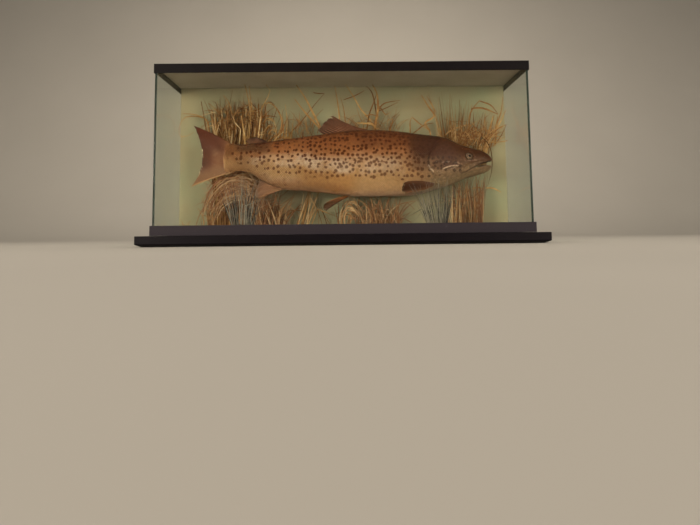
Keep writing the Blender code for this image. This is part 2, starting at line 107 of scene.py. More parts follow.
def paintOver(tree, colour, layers):  # a layer is its tint and strength, then the masks that hold it
    for tint, strength, *masks in layers:
        share = product(tree, *masks, strength)
        colour = addNode(tree, "Mix", {0: share, 6: colour, 7: tint}, 2, data_type="RGBA")
    return colour


def dressShader(tree, shader, colour, rough=None, bump=None):
    tree.links.new(colour, shader.inputs["Base Color"])
    if rough:  # (mask, its share, the least roughness)
        tree.links.new(addNode(tree, "Math", rough, operation="MULTIPLY_ADD"), shader.inputs["Roughness"])
    if bump:  # (height, depth in millimetres, strength)
        height, depth, strength = bump
        inputs = {"Height": height, "Distance": depth * mm, "Strength": strength}
        tree.links.new(addNode(tree, "Bump", inputs), shader.inputs["Normal"])


def mottledMaterial(name, base, roughness, size, detail, tints, rough=None, bump=None, **sockets):
    material, tree, shader = newMaterial(name, base, roughness, **sockets)
    place = addNode(tree, "TexCoord", out="Object")
    mottle = addNode(tree, "TexNoise", {"Vector": place, "Scale": 1 / (size * mm), "Detail": detail})
    colour = paintOver(tree, tints[0], ((tints[1], 1.0, mottle),))
    dressShader(tree, shader, colour, rough and (mottle, *rough), bump and (mottle, *bump))
    return material


def finishPiece(piece, nodes, material):  # hand a piece to the frame
    piece.data.materials.clear()
    piece.data.materials.append(material)
    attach(piece, "root")
    if nodes:
        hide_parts(*nodes)


def deselectAll():
    if bpy.context.object and bpy.context.object.mode != "OBJECT":
        bpy.ops.object.mode_set(mode="OBJECT")
    bpy.ops.object.select_all(action="DESELECT")


def setUv(mesh, name, perVertex):
    layer = mesh.uv_layers.get(name) or mesh.uv_layers.new(name=name)
    loopVertices = np.empty(len(mesh.loops), dtype=np.int32)
    mesh.loops.foreach_get("vertex_index", loopVertices)
    layer.data.foreach_set("uv", perVertex[loopVertices].astype(np.float32).ravel())


def setMarks(mesh, name, perVertex):  # four values a vertex, kept as a colour attribute
    layer = mesh.color_attributes.new(name, "FLOAT_COLOR", "POINT")
    layer.data.foreach_set("color", perVertex.astype(np.float32).ravel())


def readPoints(mesh, kind="co"):
    out = np.empty(len(mesh.vertices) * 3, dtype=np.float32)
    mesh.vertices.foreach_get(kind, out)
    return out.reshape(-1, 3).astype(float)


def writePoints(mesh, points):
    mesh.vertices.foreach_set("co", points.astype(np.float32).ravel())
    mesh.update()


def faceOutward(mesh):  # consistent normals that point out of the closed shape
    bm = bmesh.new()
    bm.from_mesh(mesh)
    bmesh.ops.recalc_face_normals(bm, faces=bm.faces)
    if bm.calc_volume(signed=True) < 0:
        bmesh.ops.reverse_faces(bm, faces=bm.faces)
    bm.to_mesh(mesh)
    bm.free()
    mesh.update()


def meshPiece(name, points, faces):
    mesh = bpy.data.meshes.new(name)
    mesh.from_pydata(points, [], faces)
    mesh.update()
    piece = bpy.data.objects.new(name, mesh)
    bpy.context.scene.collection.objects.link(piece)
    faceOutward(mesh)
    return piece


def gridPiece(name, points):  # a grid primitive with (rows, columns) points, moved to the places given
    rows, columns = points.shape[:2]
    deselectAll()
    bpy.ops.mesh.primitive_grid_add(x_subdivisions=columns - 1, y_subdivisions=rows - 1, size=0.1)
    piece = bpy.context.object
    piece.name = piece.data.name = name
    writePoints(piece.data, points.reshape(-1, 3))
    return piece


def smoothLine(points):  # a curve through (place, value) points, sloped as its neighbours are
    places, values = np.array(points, dtype=float).T
    slopes = np.empty_like(values)
    slopes[1:-1] = (values[2:] - values[:-2]) / (places[2:] - places[:-2])
    slopes[0] = (values[1] - values[0]) / (places[1] - places[0])
    slopes[-1] = (values[-1] - values[-2]) / (places[-1] - places[-2])

    def at(where):
        where = np.clip(where, places[0], places[-1])
        i = np.clip(np.searchsorted(places, where, side="right") - 1, 0, len(places) - 2)
        span = places[i + 1] - places[i]
        t = (where - places[i]) / span
        return (
            (2 * t**3 - 3 * t**2 + 1) * values[i] + (t**3 - 2 * t**2 + t) * span * slopes[i]
            + (3 * t**2 - 2 * t**3) * values[i + 1] + (t**3 - t**2) * span * slopes[i + 1]
        )

    return at


def ease(value, low, high):  # 0 below low, 1 above high, smooth between
    t = np.clip((value - low) / (high - low), 0, 1)
    return t * t * (3 - 2 * t)


def bell(distance, wide):  # 1 at no distance, falling off smoothly
    return np.exp(-(distance / wide) ** 2)


def unit(vectors):
    return vectors / np.maximum(np.linalg.norm(vectors, axis=-1, keepdims=True), 1e-6)


def runOf(points):  # the distance along a line of points, at each of them
    return np.concatenate([[0], np.linalg.norm(np.diff(points, axis=0), axis=1).cumsum()])


def waves(x, y, z, size, seed):  # soft unevenness from -1 to 1, made of a few crossing sines
    turns = np.random.default_rng(seed).uniform(0, 6.28, (5, 4))
    total = 0
    for k, (a, b, c, d) in enumerate(turns):
        f = (1 + 0.35 * k) / size * 6.28
        across = x * math.cos(a) + y * math.sin(a) * math.cos(b) + z * math.sin(a)
        total = total + np.sin(f * across + d + c)
    return total / 5


# the trout's shape: s is the distance behind the snout and z the height, both in millimetres

trout = {
    "snoutX": 278.8, "length": 560, "levelZ": 162, "middleY": 21.8, "tailSwing": 14, "headSwing": 5,
    "straightS": 220,
    "backLine": ((0, 152.6), (1.5, 157.2), (4.5, 161.3), (12.5, 167.4), (20, 170.9), (39, 176.4), (61.5, 184),
                 (82, 194.7), (92, 197.7), (130, 203), (168, 208.3), (206, 211.9), (245, 212.3),
                 (292, 208.1), (350, 200.7), (400, 194.1), (440, 189), (468, 186.3), (485, 188.1),
                 (497, 189.8), (503, 190.6)),
    "bellyLine": ((0.9, 141.6), (2.0, 138.8), (5.0, 134.8), (10, 131), (17.4, 128), (29, 124.4), (56, 116.8),
                  (79, 106.8), (113, 97.1), (132, 91.8), (155, 88.5), (208, 87.2), (270, 88.5), (312, 94.7),
                  (350, 98.7), (382, 101.3), (409, 108), (432, 120.3), (450, 131.3), (468, 136.3),
                  (485, 133.8), (497, 131.2), (503, 130)),
    "widthLine": ((0, 0), (0.6, 3.4), (2, 6.0), (5, 8.8), (10, 11.5), (20, 14.8), (33, 18.2), (46, 20.9),
                  (80, 27.2), (115, 31.2), (160, 32.9), (215, 33.5), (270, 31.9), (330, 26.9), (390, 19.3),
                  (440, 12.5), (465, 9.0), (480, 6.4), (490, 4.2), (497, 2.4), (503, 0.7)),
    "upperLip": ((0, 151.6), (4, 150.6), (12, 148.2), (20, 145.4), (28, 141.9), (34, 139.3), (37.5, 138.2),
                 (48, 137.4)),
    "lowerLip": ((0.9, 142), (10, 141.5), (20, 139.6), (28, 138.4), (34, 138), (37.5, 137.9), (48, 137.4)),
    "mouthCorner": 37.5, "jawTip": 0.9, "facePlane": 48, "tailEnd": 503,
    "squareness": 2.15, "widestAt": 0.47, "halfSteps": 112,
}
eyes = {
    "s": 46.3, "z": 158.4, "radius": 7.0, "bulge": 4.6, "sunk": 2.5,
    "rings": ((0.0, "#070504"), (0.44, "#0a0706"), (0.48, "#d6a98a"), (0.53, "#4a3020"), (0.59, "#22150d"),
              (0.71, "#2a1b11"), (0.77, "#997c68"), (0.82, "#4d3a2b"), (0.88, "#3a271a"), (1.0, "#3b281a")),
}
gillEdge = ((96, 192), (101, 184.5), (110, 174), (117, 164), (121.5, 152), (121.3, 143), (118.6, 135.5),
            (113.5, 126.5), (109.5, 118), (104.5, 110.5), (97, 105), (88, 102))

backAt, bellyAt, widthAt, upperLipAt, lowerLipAt = (
    smoothLine(trout[k]) for k in ("backLine", "bellyLine", "widthLine", "upperLip", "lowerLip")
)


def middleAt(s):
    reach, straight = trout["length"] - trout["straightS"], trout["straightS"]
    behind = trout["tailSwing"] * (np.maximum(s - straight, 0) / reach) ** 2
    ahead = trout["headSwing"] * (np.maximum(straight - s, 0) / straight) ** 2
    return trout["middleY"] - behind - ahead


def spanAt(s):  # the heights of the back, of the widest line and of the belly
    top, bottom = backAt(s), bellyAt(s)
    return top, bottom + (top - bottom) * trout["widestAt"], bottom


def shareAt(s, z):  # how far z lies from the widest line towards the back (1) or the belly (-1)
    top, middle, bottom = spanAt(s)
    return (z - middle) / np.maximum(np.where(z > middle, top - middle, middle - bottom), 0.1)


def bodyPoint(s, angle):  # on the flank nearest the glass; angle is -90 deg at the belly, +90 at the back
    top, middle, bottom = spanAt(s)
    power = 2 / trout["squareness"]
    n, c = np.sin(angle), np.cos(angle)
    up = np.sign(n) * np.abs(n) ** power
    z = middle + np.where(up > 0, top - middle, middle - bottom) * up
    return np.stack([trout["snoutX"] - s, middleAt(s) - widthAt(s) * np.abs(c) ** power, z], -1)


def angleOf(s, z, across):  # the angle whose body point is nearest a point beside the middle plane
    power = trout["squareness"] / 2
    share = shareAt(s, z)
    up = np.sign(share) * np.abs(share) ** power
    out = (np.abs(across) / np.maximum(widthAt(s), 0.1)) ** power
    return np.arctan2(up, np.maximum(out, 1e-4))


girthS = np.linspace(0, trout["tailEnd"], 260)
girthAngle = np.linspace(-math.pi / 2, math.pi / 2, 181)
girthPoints = bodyPoint(girthS[:, None] + 0 * girthAngle, girthAngle + 0 * girthS[:, None])
girthArc = np.array([runOf(row) for row in girthPoints])
# the arc at a level line along the flank: the spots' pattern is measured from it, so it isn't sheared
levelArc = np.array([np.interp(trout["levelZ"], row[:, 2], arc) for row, arc in zip(girthPoints, girthArc)])


def arcAt(s, angle):  # millimetres round the flank from the belly's middle to the angle
    row = np.clip(s / trout["tailEnd"], 0, 1) * (len(girthS) - 1)
    column = (angle / math.pi + 0.5) * (len(girthAngle) - 1)
    i = np.clip(row.astype(int), 0, len(girthS) - 2)
    j = np.clip(column.astype(int), 0, len(girthAngle) - 2)
    a, b = row - i, column - j
    return (
        girthArc[i, j] * (1 - a) * (1 - b) + girthArc[i + 1, j] * a * (1 - b)
        + girthArc[i, j + 1] * (1 - a) * b + girthArc[i + 1, j + 1] * a * b
    )


def angleAtArc(s, arc):  # the other way round, for one station at a time
    row = int(round(np.clip(s / trout["tailEnd"], 0, 1) * (len(girthS) - 1)))
    return np.interp(arc, girthArc[row], girthAngle)


def lineDistance(s, z, points):  # (distance, place along from 0 to 1, side: + on the right of travel)
    corners = np.array(points, dtype=float)
    lengths = np.linalg.norm(np.diff(corners, axis=0), axis=1)
    starts = np.concatenate([[0], lengths.cumsum()])
    best = np.full(np.shape(s), 1e9)
    place = np.zeros(np.shape(s))
    side = np.zeros(np.shape(s))
    for k, (a, b) in enumerate(zip(corners, corners[1:])):
        d = b - a
        t = np.clip(((s - a[0]) * d[0] + (z - a[1]) * d[1]) / (d @ d), 0, 1)
        ds, dz = s - a[0] - t * d[0], z - a[1] - t * d[1]
        distance = np.hypot(ds, dz)
        nearer = distance < best
        best = np.where(nearer, distance, best)
        place = np.where(nearer, (starts[k] + t * lengths[k]) / starts[-1], place)
        side = np.where(nearer, np.sign(d[0] * (z - a[1]) - d[1] * (s - a[0])), side)
    return best, place, side


def smoothPath(points, count):  # evenly spaced places on a smooth path through a few points
    corners = np.array(points, dtype=float)
    places = runOf(corners)
    t = np.linspace(0, places[-1], count)
    return np.stack([smoothLine(np.stack([places, column], 1))(t) for column in corners.T], 1)


def rounded(points, steps=6):
    return smoothPath(points, steps * (len(points) - 1) + 1)


# the head's plates and creases, as (s, z) lines

head = {
    "preopercle": ((84, 174), (82, 160), (79.5, 147), (74, 134), (63, 126.5)),
    "lowerPlates": ((117, 139), (103, 128), (88, 121.5), (66, 121.5)),
    "maxilla": ((8, 151.2), (20, 149.3), (34, 145.6), (46, 139.8), (56, 133.6), (61.5, 130)),
    "maxillaHalf": ((0, 1.0), (0.2, 2.2), (0.5, 3.9), (0.75, 4.6), (0.92, 3.6), (1, 2.2)),
    "jawCrease": ((6, 138.5), (22, 134.6), (42, 130.2), (60, 123.5)),
    "cheekCrease": ((58, 150), (66, 143.5), (76, 138.5)),
    "browCrease": ((30, 166), (44, 168.5), (60, 167)),
    "nostrils": ((24, 164.2), (28.5, 163.6)),
    "mountCrease": ((340, 203), (347, 170), (356, 128), (360, 100)),
    "lateralLine": ((118, 162), (200, 157.5), (330, 155), (430, 158), (500, 160)),
    # pale streaks on the gill cover and cheek, partly painted highlights (glints): width, strength and the
    # line each follows
    "paleStreaksAndGlints": (
        (1.0, 0.85, ((97, 134.6), (88, 138), (80, 140.3), (68, 140.6))),
        (1.0, 0.3, ((88, 133), (80, 135.5), (72, 137))),
        (1.4, 0.8, ((124, 142), (119.5, 135), (113.5, 129.5))),
        (0.9, 0.25, ((54, 148.8), (46, 150.4), (37, 151), (31, 150.5))),
        (0.8, 0.18, ((112, 115.5), (98, 118.5), (84, 120.4), (70, 121.8))),
        (0.7, 0.1, ((104, 112), (90, 115), (76, 116.5))),
        (1.1, 0.3, ((98, 146.5), (90, 148.5), (85, 147))),
        (1.0, 0.3, ((76, 145.5), (70, 146), (66, 144.5))),
        (1.6, 0.2, ((118, 128), (108, 131), (100, 127))),
    ),
    "cheekSpots": (
        (110.7, 145.3, 2.3), (101.2, 148.3, 2.5), (89.8, 147.4, 2.4), (81.2, 148, 2.0), (73.1, 145.6, 2.2),
        (106, 135.2, 2.0), (96, 156, 1.9), (106, 157, 2.1), (85, 156.5, 1.7), (72, 153.5, 1.6),
        (64, 158, 1.5), (116, 153, 2.0),
    ),
}
gillLine = rounded(gillEdge)
preopercleLine = rounded(head["preopercle"])
platesLine = rounded(head["lowerPlates"])
maxillaLine = rounded(head["maxilla"])


def gillDistance(s, z):  # millimetres in front of the gill cover's rear edge, negative behind it
    distance, place, side = lineDistance(s, z, gillLine)
    return -distance * side


def relief(s, z):  # how far the head's plates and the body's unevenness stand out of the plain form
    height = np.zeros(np.shape(s))
    d = gillDistance(s, z)
    lift = ease(d, -0.5, 1.0)
    step = lift * 0.95 * bell(np.maximum(d, 0), 24) - (1 - lift) * 0.9 * np.exp(-np.abs(d) / 4.5)
    height += ease(z, 193, 182) * step * (0.35 + 0.65 * ease(z, 112, 132))
    near = s < 135
    d, place, side = lineDistance(s, z, preopercleLine)
    height += near * ease(z, 176, 158) * (0.25 * bell(np.where(side > 0, d, 9), 5) - 0.3 * bell(d, 1.6))
    height -= near * 0.45 * bell(lineDistance(s, z, platesLine)[0], 1.1)
    d, place, side = lineDistance(s, z, maxillaLine)
    inside = smoothLine(head["maxillaHalf"])(place) - d
    height += near * (1.25 * ease(inside, -0.3, 1.1) - 0.5 * bell(inside + 0.9, 0.8))
    for name, depth, wide in (("jawCrease", 0.4, 1.1), ("cheekCrease", 0.35, 1.0), ("browCrease", 0.3, 1.6)):
        d, place, side = lineDistance(s, z, rounded(head[name]))
        height -= near * depth * bell(d, wide) * np.sin(math.pi * np.clip(place, 0.03, 0.97)) ** 0.5
    for ns, nz in head["nostrils"]:
        r = np.hypot(s - ns, (z - nz) * 1.2)
        height += near * (0.35 * bell(r - 1.6, 0.6) - 0.9 * bell(r, 0.95))
    r = np.hypot(s - eyes["s"], z - eyes["z"])  # the eye's socket and its raised rim
    height += near * (0.55 * bell(r - 8.3, 1.1) - 3.4 * (1 - ease(r, 6.0, 7.6)))
    rays = np.sin((z - 0.35 * s) * 2 * math.pi / 3.4)  # gill rays under the throat
    height += near * 0.22 * rays * ease(s, 58, 70) * ease(s, 108, 96) * ease(z, 120.5, 116)
    height += 0.24 * waves(s, z, 0 * s, 52, 3) * ease(s, 110, 160) * ease(s, 500, 470)
    height -= 0.35 * bell(lineDistance(s, z, head["mountCrease"])[0], 1.8)
    return height + 0.18 * bell(lineDistance(s, z, head["lateralLine"])[0], 0.9) * ease(s, 118, 128)


def skinRows():  # the flank nearest the glass, as rows of points from deep in the mouth to the tail's root
    half = trout["halfSteps"]
    face, corner, tip = trout["facePlane"], trout["mouthCorner"], trout["jawTip"]
    faceAngle = angleOf(np.array(face), upperLipAt(face), widthAt(face) * 0.97)
    # even steps round an oval 1.9 times as high as wide, split at the corner of the mouth
    turn = np.linspace(-math.pi / 2, math.pi / 2, 2001)
    length = runOf(np.stack([np.cos(turn), 1.9 * np.sin(turn)], 1))
    split = np.interp(faceAngle, turn, length)
    below = int(round(half * split / length[-1]))
    lower = np.interp(np.linspace(0, split, below + 1), length, turn)
    upper = np.interp(np.linspace(split, length[-1], half - below + 1), length, turn)
    angles = np.concatenate([lower, upper[1:]])
    isUpper = np.arange(half + 1) > below
    edge = np.where(isUpper, math.pi / 2, -math.pi / 2)
    f = np.clip((edge - angles) / (edge - faceAngle), 0, 1)
    first = np.where(isUpper, 0, tip)
    start = first + (corner - first) * (1 - np.cos(f * math.pi / 2))

    def faceRow(t):  # t is 0 along the lips and 1 at the flat section through the eye
        s = start + (face - start) * t
        share = np.clip(shareAt(s, np.where(isUpper, upperLipAt(s), lowerLipAt(s))), -0.999, 0.999)
        lipAngle = np.sign(share) * np.arcsin(np.abs(share) ** (trout["squareness"] / 2))
        return s, edge + (lipAngle - edge) * f ** (t**0.42)

    rows = []
    lips = bodyPoint(*faceRow(0.0))
    throat = np.array([trout["snoutX"] - 35, float(middleAt(35)), 139.0])
    for e in (1.0, 0.9, 0.75, 0.58, 0.42, 0.28, 0.16, 0.08, 0.03):
        row = lips + (throat - lips) * e
        palate = np.sin(math.pi * e**0.8) * np.where(isUpper, 2.6, -1.6)
        arch = palate + np.where(isUpper, 0.7, -0.5) * (1 - e)
        row[:, 2] += arch * np.sin(math.pi * (1 - f) / 2) ** 0.5
        rows.append(row)
    inside = len(rows)
    rows += [bodyPoint(*faceRow(t)) for t in np.linspace(0, 1, 40) ** 1.5]
    for low, high, step in ((face + 0.9, 92, 0.9), (92, 126, 0.75), (126, 486, 2.3), (486, 503.1, 1.7)):
        rows += [bodyPoint(np.full(half + 1, s), angles) for s in np.arange(low, high, step)]
    end = rows[-1]
    core = np.array([end[0, 0] - 1.2, middleAt(trout["tailEnd"]), end[:, 2].mean()])
    for shrink in (0.35, 1.0):
        rows.append(end + (core - end) * np.array([1, shrink, 0.08 * shrink]))
    return np.array(rows), inside


def skinPiece():
    right, inside = skinRows()
    left = right[:, -2:0:-1].copy()
    left[..., 1] = 2 * middleAt(trout["snoutX"] - left[..., 0]) - left[..., 1]
    points = np.concatenate([right, left, right[:, :1]], axis=1) * mm
    piece = gridPiece("trout_skin", points)
    mesh = piece.data
    bm = bmesh.new()
    bm.from_mesh(mesh)
    layer = bm.verts.layers.float.new("mouth")
    for k, vertex in enumerate(bm.verts):
        vertex[layer] = 1.0 if k < inside * points.shape[1] else 0.0
    bmesh.ops.remove_doubles(bm, verts=bm.verts, dist=0.00001)
    bmesh.ops.dissolve_degenerate(bm, edges=bm.edges, dist=0.000004)
    rims = [e for e in bm.edges if e.is_boundary]
    if rims:
        bmesh.ops.holes_fill(bm, edges=rims)
    eye = Vector(((trout["snoutX"] - eyes["s"]) * mm, eyes["z"] * mm))  # finer faces round the eye
    around = [f for f in bm.faces if (f.calc_center_median().xz - eye).length < 0.0115]
    edges = list({e for f in around for e in f.edges})
    bmesh.ops.subdivide_edges(bm, edges=edges, cuts=1, use_grid_fill=True)
    bm.to_mesh(mesh)
    bm.free()
    faceOutward(mesh)
    # push the plates, creases and unevenness out along the skin
    co, normal = readPoints(mesh), readPoints(mesh, "normal")
    mouth = np.array([v.value for v in mesh.attributes["mouth"].data])
    height = relief(trout["snoutX"] - co[:, 0] / mm, co[:, 2] / mm) * (1 - mouth)
    writePoints(mesh, co + normal * height[:, None] * mm)
    bpy.ops.object.shade_smooth()
    return piece


def lieOf(points):  # s, arc from the level line, share of the way round, side and height of the skin's points
    s, z = trout["snoutX"] - points[:, 0] / mm, points[:, 2] / mm
    across = points[:, 1] / mm - middleAt(s)
    arc = arcAt(s, angleOf(s, z, across))
    share = arc / np.maximum(arcAt(s, np.full(np.shape(s), math.pi / 2)), 1)
    return s, arc - np.interp(s, girthS, levelArc), share, across, z


def paintLie(mesh, shade=0.5):  # the maps and marks that the skin and the scales share
    s, arc, share, across, z = lieOf(readPoints(mesh))
    mouth = 0 * s
    if "mouth" in mesh.attributes:
        mesh.attributes["mouth"].data.foreach_get("value", mouth)
    setUv(mesh, "lieMap", np.stack([s * mm + (across > 0), arc * mm], 1))
    setUv(mesh, "toneMap", np.stack([s / trout["length"], share], 1))
    setMarks(mesh, "marks", np.stack([*headMarks(s, z), mouth, shade + 0 * s], 1))


def headMarks(s, z):  # pale streaks on the gill cover and cheek, partly painted highlights, and dark marks, mostly painted shade in the creases, each from 0 to 1
    pale, dark = 0 * s, 0 * s
    for wide, strength, line in head["paleStreaksAndGlints"]:
        pale = np.maximum(pale, strength * bell(lineDistance(s, z, line)[0], wide))
    # painted shade: a dark band just behind the gill cover's rear edge, and dark lines in the creases of the
    # plates and jaw, under the front of the upper lip and under the maxilla's edge
    d = gillDistance(s, z)
    marks = [0.6 * bell(d + 1.4, 1.5) * ease(z, 190, 178) * ease(z, 112, 136)]
    for line, wide, strength, reach in (
        (preopercleLine, 1.0, 0.2, 122), (platesLine, 0.9, 0.35, 122), (head["jawCrease"], 0.8, 0.35, 122),
        (trout["upperLip"][:7], 1.1, 0.95, 40),
    ):
        marks.append(strength * bell(lineDistance(s, z, line)[0], wide) * (s < reach))
    d, place, side = lineDistance(s, z, maxillaLine)
    rim = smoothLine(head["maxillaHalf"])(place) - d
    marks.append(np.where(side < 0, 0.7, 0.12) * bell(rim + 0.7, 0.9) * (s > 4) * (s < 70))
    # the skin's own dark spots on the cheek, a darker ring round the eye, and painted shade in the nostril
    # pits
    for ss, sz, size in head["cheekSpots"]:
        marks.append(0.8 * ease(np.hypot(s - ss, (z - sz) * 0.85), size + 0.7, size - 0.5))
    marks.append(0.4 * bell(np.hypot(s - eyes["s"], z - eyes["z"]) - 7.4, 0.8))
    for ns, nz in head["nostrils"]:
        marks.append(0.9 * bell(np.hypot(s - ns, z - nz), 1.0))
    for mark in marks:
        dark = np.maximum(dark, mark)
    return pale, dark


# the skin's paint: tint, strength, then masks as (what is measured, low, high, softness) or a mask's name
skinPaint = {
    "body": ((0.0, "#967562"), (0.10, "#a07c64"), (0.20, "#a67f5c"), (0.33, "#a47b55"), (0.44, "#a3754c"),
             (0.55, "#946440"), (0.66, "#83502d"), (0.80, "#744120"), (1.0, "#5c3013")),
    "face": ((0.0, "#8b745c"), (0.20, "#725a43"), (0.36, "#6d523c"), (0.43, "#5d422d"), (0.51, "#50321e"),
             (0.62, "#462716"), (0.78, "#3f200f"), (1.0, "#4c2d17")),
    # the back's brown comes lower on the shoulder and the tail's stock, and the tan higher in between
    "rise": ((0.65, 0.74, 0.11, -0.085), (0.79, 0.84, 0.04, 0.06), (-1.0, 0.25, 0.09, 0.04)),
    "layers": (
        ("#2b170d", 0.2, ("mottle", -1.0, 0.40, 0.10), "headShare"),  # pores and flecks of the head's skin
        ("#a68a72", 0.12, ("mottle", 0.60, 2.0, 0.10), "headShare", ("height", 0.10, 0.50, 0.12)),
        ("#43261c", 0.8, ("along", 0.155, 0.255, 0.05), ("height", 0.45, 0.78, 0.08)),  # purple shoulder
        ("#bca495", 0.62, ("level", 0.42, 0.50, 0.11), ("along", 0.35, 0.77, 0.08), "patches"),  # silvery flank, partly a painted sheen
        ("#96632f", 0.55, ("level", 0.12, 0.34, 0.08), ("along", 0.49, 0.61, 0.06)),
        ("#8a5c37", 0.65, ("height", -1.0, 0.14, 0.12), ("along", 0.52, 1.2, 0.06)),  # warm rear belly
        ("#7d5533", 0.55, ("along", 0.84, 1.2, 0.08)),  # duller tan on the tail's stock
        ("#66503f", 0.20, ("along", 0.755, 0.825, 0.03)),
        ("#6b4a30", 0.2, ("along", 0.56, 0.84, 0.05), ("height", 0.12, 0.44, 0.08)),
        ("#3d2212", 0.6, ("along", 0.752, 0.84, 0.03), ("up", 0.74, 1.2, 0.1)),
        ("#673d20", 0.75, ("along", 0.872, 1.2, 0.022), ("up", 0.66, 1.4, 0.20)),
        ("#43210f", 0.35, ("along", 0.24, 0.42, 0.06), ("height", 0.69, 0.87, 0.08)),  # dark nape
        ("#846349", 0.4, ("along", 0.22, 0.34, 0.07), ("level", 0.34, 0.56, 0.08)),  # greyer lower shoulder, partly a painted sheen
    ),
    # pitch in millimetres, shift, lowest and highest place on the flank, and radius as a share of the pitch
    "spots": ((8.6, 0.0, 0.49, 1.4, 0.355), (9.8, 0.37, 0.32, 0.46, 0.33)),
}


def spotMask(tree, lie, masks):  # scattered sets of round spots, fewer and smaller towards the tail
    shaken = addNode(tree, "TexNoise", {"Vector": lie, "Scale": 1 / (4.5 * mm), "Detail": 2.0}, 1)
    shake = addNode(tree, "VectorMath", (shaken, (3.2 * mm, 3.2 * mm, 0), lie), operation="MULTIPLY_ADD")
    aft = band(tree, masks["along"], 0.66, 1.2, 0.12)
    thinning = addNode(tree, "Math", (aft, -0.20, 0.96), operation="MULTIPLY_ADD")
    sets = []
    for pitch, shift, low, high, radius in skinPaint["spots"]:
        moved = addNode(tree, "VectorMath", (shake, (shift, shift * 1.7, 0)), operation="ADD")
        cells = addNode(tree, "TexVoronoi", {"Vector": moved, "Scale": 1 / (pitch * mm), "Randomness": 0.72},
                        voronoi_dimensions="2D")
        lots = addNode(tree, "SeparateColor", (cells.node.outputs["Color"],)).node.outputs
        size = addNode(tree, "Math", (lots[0], 0.13, radius - 0.08), operation="MULTIPLY_ADD")
        size = addNode(tree, "Math", (aft, -0.02, size), operation="MULTIPLY_ADD")
        inside = addNode(tree, "Math", (size, cells), operation="SUBTRACT")
        blot = addNode(tree, "MapRange", (inside, -0.02, 0.09, 0.0, 1.0), interpolation_type="SMOOTHSTEP")
        flank, length = (masks["height"], low, high, 0.05), (masks["along"], 0.15, 0.80, 0.08)
        where = product(tree, flank, length, thinning)
        kept = addNode(tree, "Math", (where, lots[1]), operation="SUBTRACT")
        kept = addNode(tree, "Math", (kept, 9.0, 0.4), operation="MULTIPLY_ADD", use_clamp=True)
        sets.append(product(tree, blot, kept))
    return addNode(tree, "Math", sets, operation="MAXIMUM")


